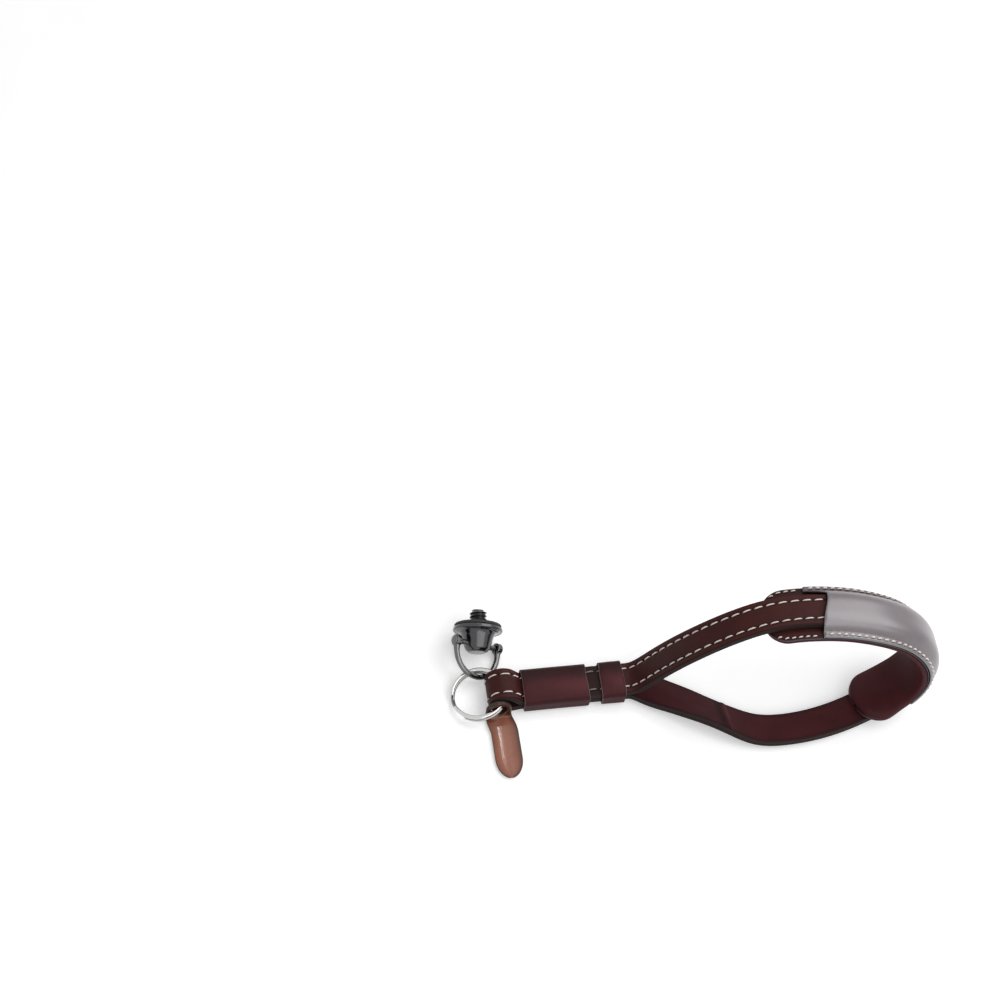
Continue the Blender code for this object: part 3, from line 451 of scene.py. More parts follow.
def rounded_loop(half_width, low, high, radius, spacing=0.35):
    """A rounded rectangle as points and outward normals at an even spacing round its edge."""
    corners = ((half_width - radius, low + radius, -90), (half_width - radius, high - radius, 0),
               (-half_width + radius, high - radius, 90), (-half_width + radius, low + radius, 180))
    dense = []
    for y, z, first in corners:
        a = np.radians(np.linspace(first, first + 90, 24))
        normal = np.stack((np.cos(a), np.sin(a)), axis=1)
        dense.append(np.hstack((np.array((y, z)) + radius * normal, normal)))
    dense = np.vstack((*dense, dense[0][:1]))
    at = run_length(dense[:, :2])
    even = np.linspace(0, at[-1], int(at[-1] / spacing), endpoint=False)
    loop = np.stack([np.interp(even, at, dense[:, k]) for k in range(4)], axis=1)
    return loop[:, :2], unit(loop[:, 2:]), even


def circle(count, turn=0.0):
    """Angles of an even circle, in radians."""
    return TAU * (np.arange(count) + turn) / count


def tube(middle, radius, sides=24):
    """Rings round a path: middle + radius (cos a side + sin a up), where up is closest to Z."""
    ahead = unit(np.gradient(middle, run_length(middle), axis=0))
    up = unit(np.array((0.0, 0.0, 1.0)) - ahead[:, 2:] * ahead)
    side = np.cross(up, ahead)
    a = circle(sides)[None, :, None]
    radius = np.broadcast_to(radius, len(middle))[:, None, None]
    return middle[:, None] + radius * (np.cos(a) * side[:, None] + np.sin(a) * up[:, None])


def turned(outline, sides=72):
    """A surface of revolution about X: each (along, radius) pair becomes a ring."""
    outline = np.asarray(outline, float)
    a = circle(sides)[None, :]
    x = np.broadcast_to(outline[:, :1], (len(outline), sides))
    return np.stack((x, outline[:, 1:] * np.cos(a), outline[:, 1:] * np.sin(a)), axis=-1)


def rounded_outline(corners, radius, steps=5):
    """Corner points of an outline, each inner one replaced by a short quadratic curve."""
    corners = np.asarray(corners, float)
    points = [corners[0]]
    for before, here, after in zip(corners[:-2], corners[1:-1], corners[2:]):
        reach = min(radius, *(np.linalg.norm(end - here) * 0.45 for end in (before, after)))
        a, b = here + unit(before - here) * reach, here + unit(after - here) * reach
        for t in np.linspace(0, 1, steps):
            points.append((1 - t)**2 * a + 2 * t * (1 - t) * here + t**2 * b)
    points.append(corners[-1])
    return np.array(points)


# Materials


class Value:
    """A socket that carries a number. Arithmetic on it adds Math nodes to its tree."""

    def __init__(self, finish, socket):
        self.finish, self.socket = finish, socket

    def _math(self, operation, *numbers, clamp=False):
        found = self.finish.node("ShaderNodeMath", {"operation": operation, "use_clamp": clamp},
                                 dict(enumerate(numbers)))
        return Value(self.finish, found.outputs[0])

    def __add__(self, other):
        return self._math("ADD", self, other)

    def __sub__(self, other):
        return self._math("SUBTRACT", self, other)

    def __rsub__(self, other):
        return self._math("SUBTRACT", other, self)

    def __mul__(self, other):
        return self._math("MULTIPLY", self, other)

    def clamp(self):
        return self._math("ADD", self, 0.0, clamp=True)

    def sine(self):
        return self._math("SINE", self)

    __radd__ = __add__
    __rmul__ = __mul__


class Finish:
    """A material in the making, on a Principled shader."""

    def __init__(self, name, settings):
        self.material = bpy.data.materials.new(name)
        self.material.use_nodes = True
        self.tree = self.material.node_tree
        self.shader = self.tree.nodes["Principled BSDF"]
        for socket, value in settings.items():
            self.shader.inputs[socket].default_value = value

    def node(self, kind, settings=None, inputs=None):
        """One node: its settings first, then the values or links of its sockets."""
        made = self.tree.nodes.new(kind)
        for label, value in (settings or {}).items():
            setattr(made, label, value)
        for socket, value in (inputs or {}).items():
            self.feed(made.inputs[socket], value)
        return made

    def feed(self, socket, value):
        """Link a value or a socket, or set a plain number or colour."""
        if isinstance(value, Value):
            self.tree.links.new(value.socket, socket)
        elif isinstance(value, bpy.types.NodeSocket):
            self.tree.links.new(value, socket)
        elif isinstance(value, tuple) and len(value) == 3 and socket.type == "RGBA":
            socket.default_value = (*value, 1.0)
        else:
            socket.default_value = value

    def scaled(self, vector, factors):
        """A vector times three factors."""
        found = self.node("ShaderNodeVectorMath", {"operation": "MULTIPLY"},
                          {0: vector, 1: factors})
        return found.outputs[0]

    def place(self, factor=1.0):
        """Object coordinates in millimetres times a factor."""
        found = self.node("ShaderNodeTexCoord").outputs["Object"]
        return self.scaled(found, (factor / MM,) * 3)

    def surface(self, along=1.0, around=1.0):
        """The piece's own map in millimetres, along its run and around its section."""
        return self.scaled(self.node("ShaderNodeUVMap", {"uv_map": "UVMap"}).outputs[0],
                           (along / MM, around / MM, 0.0))

    def mark(self, label):
        """A number painted on the piece's points."""
        found = self.node("ShaderNodeAttribute", {"attribute_name": label})
        return Value(self, found.outputs["Fac"])

    def noise(self, vector, scale, detail=3.0, roughness=0.55, distortion=0.0):
        """Cloudy noise from 0 to 1."""
        found = self.node("ShaderNodeTexNoise", None, {
            "Vector": vector, "Scale": scale, "Detail": detail, "Roughness": roughness,
            "Distortion": distortion})
        return Value(self, found.outputs["Fac"])

    def cells(self, vector, scale, feature="F1"):
        """Distance to the nearest of scattered points, or to the edge between two cells."""
        found = self.node("ShaderNodeTexVoronoi", {"feature": feature},
                          {"Vector": vector, "Scale": scale})
        return Value(self, found.outputs["Distance"])

    def ramp(self, value, low, high):
        """Zero at low, one at high, smooth between."""
        found = self.node("ShaderNodeMapRange", {"interpolation_type": "SMOOTHSTEP"}, {
            "Value": value, "From Min": low, "From Max": high})
        return Value(self, found.outputs["Result"])

    def mix(self, factor, first, second):
        """A blend of two colours."""
        found = self.node("ShaderNodeMix", {"data_type": "RGBA"}, {0: factor, 6: first, 7: second})
        return found.outputs[2]

    def bump(self, height, distance, strength=1.0, under=None):
        """A normal from a height of 0 to 1 that stands for a distance in millimetres."""
        inputs = {"Height": height, "Distance": distance * MM, "Strength": strength}
        if under is not None:
            inputs["Normal"] = under
        return self.node("ShaderNodeBump", None, inputs).outputs[0]

    def set(self, **sockets):
        """Feed the shader: names use _ for a space."""
        for label, value in sockets.items():
            self.feed(self.shader.inputs[label.replace("_", " ")], value)
        return self.material


def leather(name, base, grain=1.5, depth=0.03, rough=(0.36, 0.5), coat=0.0, coat_rough=0.3,
            edge=None, specular=0.12, coat_ior=1.5, dark_share=0.34):
    """Dyed leather: fine pebbled grain with pores, an even dye, worn spots and painted highlights,
    and cut edges.

    Marks on the piece steer it. edge is a cut edge, rub lightens it for wear or as a painted
    highlight, dark darkens it down to the dark_share of the colour for burnished edges or as
    painted shade, and polish is where a coat lies.
    """
    finish = Finish(name, {"Coat Roughness": coat_rough, "Coat IOR": coat_ior,
                           "Specular IOR Level": specular})
    place = finish.place()
    cloud = finish.noise(place, 0.11, 3.0, 0.5)
    fleck = finish.noise(place, 1.3, 3.0, 0.6)
    pebble = finish.cells(place, grain)
    fine = finish.noise(place, grain * 3.2, 4.0, 0.6)
    long_cells = finish.scaled(place, (1.0, 0.62, 1.0))
    crease = finish.ramp(finish.cells(long_cells, grain * 0.42, "DISTANCE_TO_EDGE"), 0.0, 0.12)
    edge_mark, rub, dark = finish.mark("edge"), finish.mark("rub"), finish.mark("dark")
    dyed = finish.mix(finish.ramp(cloud, 0.32, 0.68), shade(base, 0.86), shade(base, 1.14))
    dyed = finish.mix(finish.ramp(fleck, 0.52, 0.8) * 0.2, dyed, shade(base, 1.4))
    # Wear or a painted highlight lightens the colour where the piece is marked.
    dyed = finish.mix((rub * (fleck * 0.5 + 0.6)).clamp(), dyed, shade(base, 1.5))
    dyed = finish.mix((1 - crease) * 0.18, dyed, shade(base, 0.6))
    # Burnished edges or painted shade darken the colour where the piece is marked.
    dyed = finish.mix(dark, dyed, shade(base, dark_share))
    fibre = finish.noise(finish.surface(0.5, 3.0), 2.4, 5.0, 0.7)
    cut_colour = edge if edge is not None else colour("edge")
    cut = finish.mix(fibre, shade(cut_colour, 0.6), shade(cut_colour, 1.3))
    painted = finish.mix(edge_mark, dyed, cut)
    roughness = (cloud * (rough[1] - rough[0]) + rough[0] + fleck * 0.06
                 - rub * 0.05 + edge_mark * 0.22).clamp()
    height = pebble * -0.5 + fine * 0.45 + crease * 0.5
    normal = finish.bump(height * (1 - edge_mark * 0.7), depth)
    normal = finish.bump(fibre * edge_mark, 0.1, 0.6, normal)
    if coat:
        finish.set(Coat_Weight=finish.mark("polish") * coat)
    return finish.set(Base_Color=painted, Roughness=roughness, Normal=normal)


def polished(name, base, rough=(0.10, 0.24), coat=0.0):
    """Plated metal: a mirror with cloudy polish, hairlines, dull marks and, where marked, painted
    shade and dark reflection.
    """
    finish = Finish(name, {"Metallic": 1.0, "Coat Weight": coat, "Coat Roughness": 0.08})
    place = finish.place()
    cloud = finish.noise(place, 0.35, 4.0, 0.6)
    hair = finish.noise(finish.scaled(place, (9.0, 1.2, 1.2)), 1.0, 4.0, 0.75)
    smear = finish.ramp(finish.noise(place, 0.9, 3.0, 0.6, 0.6), 0.5, 0.75)
    metal = finish.mix(smear * 0.6 + cloud * 0.25, base, shade(base, 0.85))
    # Painted shade and dark reflection where the piece is marked.
    metal = finish.mix(finish.mark("dark"), metal, shade(base, 0.10))
    roughness = (cloud * (rough[1] - rough[0]) + rough[0] + smear * 0.08).clamp()
    return finish.set(Base_Color=metal, Roughness=roughness, Normal=finish.bump(hair, 0.004))


def waxed_thread(name, base):
    """Twisted waxed thread: two plies that wind round it with painted shade between them, random
    soiling, and painted shade where marked.
    """
    finish = Finish(name, {"Sheen Weight": 0.25, "Sheen Roughness": 0.5})
    lean = finish.node("ShaderNodeSeparateXYZ", None, {0: finish.surface()})
    along, around = Value(finish, lean.outputs[0]), Value(finish, lean.outputs[1])
    twist = ((along * (TAU * 1.6) + around * (2 * TAU)).sine() * 0.5 + 0.5)
    fibre = finish.noise(finish.surface(2.0, 9.0), 1.5, 4.0, 0.7)
    soil = finish.noise(finish.place(), 0.22, 2.0)
    # The twist paints shade into the groove between the plies.
    spun = finish.mix(finish.ramp(twist, 0.0, 0.55), shade(base, 0.62), base)
    spun = finish.mix(fibre * 0.35, spun, shade(base, 1.3))
    spun = finish.mix(finish.ramp(soil, 0.45, 0.75) * 0.25, spun, shade(base, 0.65))
    # Painted shade where the piece is marked.
    spun = finish.mix(finish.mark("soil"), spun, shade(base, 0.16))
    normal = finish.bump(twist * 0.8 + fibre * 0.2, 0.12)
    return finish.set(Base_Color=spun, Roughness=(fibre * 0.2 + 0.55), Normal=normal)


def seam_thread(name, base):
    """Brown seam thread, twisted along X: a slanting wave of painted shade and highlight over its
    own place.
    """
    finish = Finish(name, {"Sheen Weight": 0.1})
    lean = finish.node("ShaderNodeSeparateXYZ", None, {0: finish.place()})
    along, up = Value(finish, lean.outputs[0]), Value(finish, lean.outputs[2])
    twist = (along * (TAU * 1.6) + up * (TAU * 0.9)).sine() * 0.5 + 0.5
    return finish.set(Base_Color=finish.mix(twist, shade(base, 0.5), shade(base, 1.5)),
                      Roughness=(twist * 0.15 + 0.55), Normal=finish.bump(twist, 0.1))


def cork_rubber(name, base):
    """Matt washer rubber with fine granules."""
    finish = Finish(name, {})
    grain = finish.cells(finish.place(), 2.6)
    dust = finish.noise(finish.place(), 0.8, 4.0, 0.6)
    speckled = finish.mix(grain * 0.7 + dust * 0.2, shade(base, 0.7), shade(base, 2.6))
    return finish.set(Base_Color=speckled, Roughness=(dust * 0.2 + 0.68),
                      Normal=finish.bump(grain, 0.12))


def foam(name):
    """Closed-cell foam: small round cells."""
    finish = Finish(name, {})
    cell = finish.cells(finish.place(), 2.2)
    return finish.set(Base_Color=finish.mix(cell, (0.02, 0.02, 0.022), (0.09, 0.09, 0.095)),
                      Roughness=(cell * 0.2 + 0.75), Normal=finish.bump(cell, 0.25))


FINISHES = {}
STRAP_EDGE = (0.030, 0.017, 0.015)
LINING_EDGE = (0.032, 0.028, 0.026)
# The pad base's lavender cut edge is a painted rim highlight.
PAD_BASE_EDGE_HIGHLIGHT = (0.115, 0.095, 0.115)
COVER_EDGE = (0.085, 0.09, 0.085)
TAG_EDGE = (0.045, 0.028, 0.022)
BAIL_SHADE = 0.24               # the bail's nickel is painted darker than the ring's by this factor, as a painted dark reflection


def finish_of(name):
    """Each material is made once, when a piece first asks for it."""
    makers = {
        "strap_leather": lambda: leather(name, colour("leather"), edge=STRAP_EDGE),
        "pad_base_leather": lambda: leather(name, colour("leather"), edge=PAD_BASE_EDGE_HIGHLIGHT),
        "sleeve_leather": lambda: leather(
            name, colour("sleeve"), grain=1.8, depth=0.02, rough=(0.36, 0.46)),
        "lining_leather": lambda: leather(
            name, colour("lining"), grain=2.4, depth=0.015, rough=(0.44, 0.56), edge=LINING_EDGE),
        "pad_cover_leather": lambda: leather(
            name, colour("cover"), grain=2.2, depth=0.01, rough=(0.34, 0.42), coat=1.0,
            coat_rough=0.3, coat_ior=1.8, specular=0.6, edge=COVER_EDGE),
        "tag_leather": lambda: leather(
            name, colour("tag"), grain=2.0, depth=0.012, rough=(0.26, 0.36), coat=1.0,
            coat_rough=0.12, specular=0.12, dark_share=0.16, edge=TAG_EDGE),
        "cream_thread": lambda: waxed_thread(name, colour("thread")),
        "dark_thread": lambda: seam_thread(name, colour("sleeve")),
        "polished_steel": lambda: polished(name, colour("steel")),
        "bail_nickel": lambda: polished(name, shade(colour("steel"), BAIL_SHADE)),
        "dark_plated_steel": lambda: polished(name, colour("dark_steel"), (0.14, 0.26), coat=0.6),
        "washer_rubber": lambda: cork_rubber(name, colour("rubber")),
        "pad_foam": lambda: foam(name),
    }
    if name not in FINISHES:
        FINISHES[name] = makers[name]()
    return FINISHES[name]


def refinish(node, finish):
    """Give a solid of the frame a finish in each of its material slots."""
    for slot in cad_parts[node].material_slots:
        slot.material = finish_of(finish)


# Strap


def stitch_places(start, end, pitch, gaps=()):
    """Middles of evenly pitched stitches between two lengths, without those inside the gaps."""
    count = int((end - start) / pitch)
    middles = (start + end) / 2 + pitch * (np.arange(count) - (count - 1) / 2)
    keep = np.ones(count, bool)
    for low, high in gaps:
        keep &= (middles < low) | (middles > high)
    return middles[keep]


HOLE_WIDTH, ROW_WIDTH = 0.34, 0.5
ROW_TROUGH, HOLE_DEPTH = 0.16, 0.34     # how deep a stitch row and each of its holes draw in
FACE_POINTS = 49                        # points of a section that lie on the outer face
SECTION_STEP = 0.62                     # distance between two sections along the strap
OUTER_BEVEL, LINING_BEVEL = 0.42, 0.35
CROWN_RISE, BEAD_RISE = 0.14, 0.06      # the outer face's crown and the bead along its edges
FACE_WAVE, LINING_DRAPE = 0.03, 0.05    # the slight waves of both faces, the lining's hollow


def holes(at, across, middles, pitch, row):
    """One at each stitch hole and zero away from it: a bell across, a cosine to the sixth along."""
    wave = 0.5 + 0.5 * np.cos(TAU * (at - middles[0] + pitch / 2) / pitch)
    return bell(np.abs(across) - row, HOLE_WIDTH) * wave**6


def pucker(at, across, middles, pitch, row):
    """How far a stitch row draws the leather in: a shallow trough that deepens at each hole."""
    trough = ROW_TROUGH * bell(np.abs(across) - row, ROW_WIDTH)
    return trough + HOLE_DEPTH * holes(at, across, middles, pitch, row)


def outer_section(half):
    """Points round the outer leather: a flat face first, then round edges and a flat back."""
    bevel = OUTER_BEVEL
    top = np.linspace(-half + bevel, half - bevel, FACE_POINTS)
    face = np.stack((top, np.full(FACE_POINTS, FACE)), axis=1)
    angle = np.radians(np.linspace(90, 0, 6))[1:, None]
    corner = np.array((half - bevel, FACE - bevel))
    right = corner + bevel * np.hstack((np.cos(angle), np.sin(angle)))
    flank = np.array([(half, 0.35), (half - 0.02, 0.08)])
    back = np.stack((np.linspace(half - 0.12, -half + 0.12, 9), np.full(9, -0.02)), axis=1)
    mirror = np.array((-1, 1))
    return np.vstack((face, right, flank, back, (flank * mirror)[::-1], (right * mirror)[::-1]))


def lining_section(half):
    """Points round the lining: its smooth face first, then its edges and a flat back."""
    bevel = LINING_BEVEL
    low, high = -FACE, -FACE + LINING_THICK + 0.2
    side = np.linspace(half - bevel, -half + bevel, 17)
    return np.vstack((
        np.stack((side, np.full(17, low)), axis=1),
        [(-half + 0.1, low + 0.1), (-half, low + bevel), (-half + 0.02, high)],
        np.stack((side[::-1], np.full(17, high)), axis=1),
        [(half - 0.02, high), (half, low + bevel), (half - 0.1, low + 0.1)],
    ))


def between_bands(at):
    """One where the upper leg shows between the keeper and the sleeve, fading out under both: the
    stretch that gets painted shade.
    """
    keeper = MARKS[0] + LOOP_START - KEEPER_LOW[0]
    sleeve = MARKS[1] - (SLEEVE_HIGH[0] - SLEEVE_LOW[0])
    return smooth_step(at, keeper - 3.0, keeper) * (1 - smooth_step(at, sleeve, sleeve + 3.0))


def strap_lengths():
    """Lengths of the strap's sections, as a column."""
    return np.linspace(0, STRAP.length(), int(STRAP.length() / SECTION_STEP))[:, None]


def build_outer_leather():
    """The outer leather: a crowned face with beaded edges, drawn in along both stitch rows.

    The crown is a parabola across, the bead a bell at each edge, and two crossed sines give the
    face its slight waves.
    """
    half, pitch = size("width") / 2, size("stitch_pitch")
    row = half - size("stitch_inset")
    at = strap_lengths()
    section = outer_section(half)
    across, out = section[:, 0], section[:, 1]
    on_face = np.arange(len(section)) < FACE_POINTS
    middles = stitch_places(0, STRAP.length(), pitch)
    crown = CROWN_RISE * (1 - (across / half)**2)
    bead = BEAD_RISE * bell(np.abs(across) - half + 0.7, 0.5)
    wave = FACE_WAVE * np.sin(at * 0.41) * np.sin(across * 0.55 + at * 0.13)
    drawn = pucker(at, across, middles, pitch, row)
    lift = np.where(on_face, crown + bead + wave - drawn, 0.0)
    edge = (np.abs(across) > half - 0.16).astype(float)
    rub = np.where(on_face, bell(np.abs(across) - half + 0.95, 0.35) * 0.6, 0.0)
    seam = 0.7 * bell(np.abs(across) - row, 0.42)
    rim = smooth_step(np.abs(across), half - 0.5, half)
    # Darker along the stitch rows and towards the edges, with painted shade where the upper leg
    # shows between the bands.
    dark = np.where(on_face, seam + rim, 1.0) + between_bands(at)
    points = STRAP.place(at, across[None, :], out + lift)
    put_skin(
        "strap_outer_leather", points, finish_of("strap_leather"), "strap", ["strap_outer"],
        "strap_leather", along=at[:, 0], around=np.append(run_length(section), 2 * half + 6),
        marks={"edge": edge[None, :], "rub": rub + 0 * at, "dark": dark.clip(0, 1)})


def build_lining():
    """The lining: a smooth face with a slight drape and a slanting crease in the lower leg."""
    half = size("width") / 2
    at = strap_lengths()
    section = lining_section(half)
    across, on_face = section[:, 0], section[:, 1] == -FACE
    drape = (-LINING_DRAPE * (1 - (across / half)**2)
             + FACE_WAVE * np.sin(at * 0.33 + across))
    fold = at - MARKS[3] - FOLD_AT + FOLD_SLANT * across
    out = section[:, 1] + on_face * (drape - FOLD_RISE * bell(fold, 0.9))
    edge = (np.abs(across) > half - 0.2).astype(float)
    rim = smooth_step(np.abs(across), half - 2.2, half - 0.2) * 0.7
    # Darker towards the edges, with painted shade just before the crease and a painted highlight on
    # its crest.
    dark = (rim + bell(fold + 2.2, 1.6)).clip(0, 1)
    rub = 4.0 * bell(fold, 0.6) * bell(across - 1.5, 3.0)
    points = STRAP.place(at, across[None, :], out)
    put_skin(
        "strap_lining_leather", points, finish_of("lining_leather"), "strap", ["strap_lining"],
        "lining_leather", along=at[:, 0], around=np.append(run_length(section), 2 * half + 6),
        marks={"edge": edge[None, :], "dark": dark, "rub": rub})


STITCH_DIP, STITCH_LEAN = 0.16, 0.10    # how far a stitch's ends dip and how far it leans aside


def stitches(run, across, middles, surface, length, diameter, soil=None):
    """Closed spindles of thread, one at each length: r (1 - t^4)^1/2, dipping at both ends.

    surface is the height of the leather at the row, and each stitch leans a little, as a lock
    stitch does. soil says how far each one is darkened, as painted shade.
    """
    soil = 0 * middles if soil is None else soil
    rings, sides = 7, 6
    t = np.linspace(-0.985, 0.985, rings)
    a = circle(sides, 0.5)
    radius = (diameter / 2 * np.sqrt(1 - t**4))[None, :, None]
    height = surface - STITCH_DIP + (diameter * 0.48 + STITCH_DIP) * (1 - t**4)
    at = middles[:, None, None] + t[None, :, None] * length / 2 + 0 * a
    row = np.broadcast_to(across, middles.shape)[:, None, None]
    side = row - STITCH_LEAN * t[None, :, None] + radius * np.cos(a)
    points = run.place(at, side, height[None, :, None] + radius * 0.85 * np.sin(a))
    around = np.linspace(0, 1, sides + 1)
    return [skin(spindle, along=middle + t * length / 2, around=around, marks={"soil": dark})
            for spindle, middle, dark in zip(points, middles, soil)]


def put_stitches(name, parts, node):
    """All the stitches of one row as a piece of cream thread."""
    vertices, faces, uv, marks = join_skins(parts)
    put(name, vertices, faces, finish_of("cream_thread"), "strap", [node],
        uv, marks)


def band_gaps():
    """Stretches of the strap that the keeper, the sleeve and the pad's cover hide."""
    upper_end, eye_start, eye_end, lower_end = MARKS
    sleeve, spare = SLEEVE_HIGH[0] - SLEEVE_LOW[0], 1.6
    near, far = LOOP_START - KEEPER_HIGH[0], LOOP_START - KEEPER_LOW[0]
    cover = PAD_LENGTH / 2 - COVER_SETBACK - spare
    hidden = ((upper_end + near, upper_end + far), (eye_start - sleeve, eye_start),
              (eye_end, eye_end + sleeve), (lower_end - far, lower_end - near))
    return [(low + spare, high - spare) for low, high in hidden] + [
        (-1, cover), (STRAP.length() - cover, STRAP.length() + 1)]


def build_strap_stitches():
    """The two rows of cream stitches along the strap."""
    middles = stitch_places(0, STRAP.length(), size("stitch_pitch"), band_gaps())
    row = size("width") / 2 - size("stitch_inset")
    # Stitches between the keeper and the sleeve get painted shade.
    soil = 0.9 * between_bands(middles)
    for label, hand in (("far", 1), ("near", -1)):
        parts = stitches(STRAP, hand * row, middles, FACE - 0.05, size("stitch_length"),
                         size("thread"), soil)
        put_stitches(f"strap_stitches_{label}", parts, f"strap_thread_{label}")


# Pad


PAD_STEP = 0.7                  # distance between two sections of the pad


def pad_half(at):
    """Half the pad's width at a length: full, and rounded by a circle towards each end."""
    radius = PAD_END_RADIUS
    short = radius - np.clip(np.minimum(at - PAD_FROM, PAD_TO - at), 0.0, radius)
    return size("pad_width") / 2 - radius + np.sqrt(np.maximum(radius**2 - short**2, 0.0))


def pad_lengths():
    """Lengths along the pad, crowded towards its round ends by a cosine, as a column."""
    ends = PAD_END_RADIUS * (1 - np.cos(np.linspace(0, math.pi / 2, 18)))
    middle = np.arange(PAD_FROM + PAD_END_RADIUS + PAD_STEP, PAD_TO - PAD_END_RADIUS, PAD_STEP)
    return np.concatenate((PAD_FROM + ends, middle, (PAD_TO - ends)[::-1]))[:, None]


PAD_TOP = -FACE - GAP
FLANGE_LOW = PAD_TOP + 0.08
FLANGE_TOP = -FACE + COVER_THICK - 0.1
FLANGE_LEAN = 5.0               # how far the far flange runs past the crown at the upper end
CROWN_SKEW = 2.4                # how far the crown's far side is cut back there
PAD_STITCH_SHARE = 0.68         # length of a pad stitch as a share of the pitch
COVER_THREAD = 1.4              # the cover's thread is thicker than the strap's by this factor
COVER_ARCH_RISE = 1.0           # the arch's middle above the flat crown of the solid
COVER_ARCH_REACH = 1.9          # from the strap's side clearance to the arch's foot
COVER_INSET = 0.15              # from the base's edge to the cover's
COVER_LIP, COVER_RIM = 0.30, 0.30       # how far its cut ends and its long edges turn down
COVER_PUCKER = 0.4              # its stitches draw it in less than the strap's by this factor
SKEW_RUN = 30.0                 # length over which the lean and the skew set in
CUSHION_RIM = 0.75              # the cushion's depth at its two ends
CUSHION_HOLLOW = 0.3            # and the depth of its inner face there
CUSHION_FULL = 0.42             # power of the sine that makes its section, lower is fuller


def out_and_back(face, back):
    """The columns of one face, and then those of the other in reverse."""
    return np.concatenate((face, back[:, ::-1]), axis=1)


def build_pad_base():
    """The thin leather under the strap: a flat strip with round ends and round edges."""
    at = pad_lengths()
    half = pad_half(at)
    points_across = 41
    share = np.linspace(-1, 1, points_across)
    share = np.concatenate((share, share[::-1]))
    top = np.arange(2 * points_across) < points_across
    level = np.where(top, PAD_TOP, PAD_TOP - BASE_THICK)
    soft = 0.35 * smooth_step(np.abs(share), 0.93, 1.0)
    row = half - PAD_STITCH_INSET
    across = share[None, :] * half
    press = np.where(top, 0.14 * bell(np.abs(across) - row, 0.6), 0.0)
    out = level + np.where(top, -soft, soft) - press
    points = PAD.place(at, across, out)
    edge = np.broadcast_to((np.abs(share) > 0.985).astype(float), across.shape)
    dark = np.where(top, 0.8 * bell(np.abs(across) - row, 0.45), 0.0)
    put_skin("pad_base_leather", points, finish_of("pad_base_leather"), "strap",
             ["pad_base"], "strap_leather", along=at[:, 0],
             marks={"edge": edge, "dark": dark})


def build_pad_cushion():
    """The soft skin under the foam: a crowned tray, drawn in at its sewn rim, with dimples."""
    at = pad_lengths()
    full = pad_half(at)
    rim_top = PAD_TOP - BASE_THICK - 0.05
    depth = CORE_THICK + GAP + LINING_SKIN + 0.55
    angle = np.linspace(0, math.pi, 61)
    share = np.cos(angle)
    bulge = np.sin(angle) ** CUSHION_FULL
    ripple = 0.07 * np.sin(at * 0.9) * np.sin(angle) * np.abs(share) ** 3
    ends = smooth_step(np.minimum(at - PAD_FROM, PAD_TO - at), -1.0, 1.6)
    outer_out = rim_top - (CUSHION_RIM + (depth - CUSHION_RIM) * ends) * bulge + ripple
    outer_across = share * (full - 0.05)
    inner_across = share[::-1] * np.maximum(full - LINING_SKIN, 0.12)
    hollow = CUSHION_HOLLOW + (depth - LINING_SKIN - CUSHION_HOLLOW) * ends
    inner_out = rim_top - hollow * bulge[::-1]
    across = np.concatenate((outer_across, inner_across), axis=1)
    out = np.concatenate((outer_out, np.minimum(inner_out, rim_top)), axis=1)
    points = PAD.place(at, across, out)
    made = put_skin("pad_cushion", points, finish_of("lining_leather"), "strap", ["pad_lining"],
                    "lining_leather", along=at[:, 0])


def cover_height(across, side):
    """Height of the cover's outer face: flat flanges and one arch, 1 - (across / reach)^4.

    The larger of the two is taken softly, so that the arch runs out into each flange.
    """
    reach = side + COVER_ARCH_REACH
    rise = FACE + GAP + COVER_THICK - FLANGE_TOP + COVER_ARCH_RISE
    arch = rise * (1 - (np.abs(across) / reach)**4)
    return FLANGE_TOP + (arch + np.sqrt(arch**2 + 0.16)) / 2 - 0.03


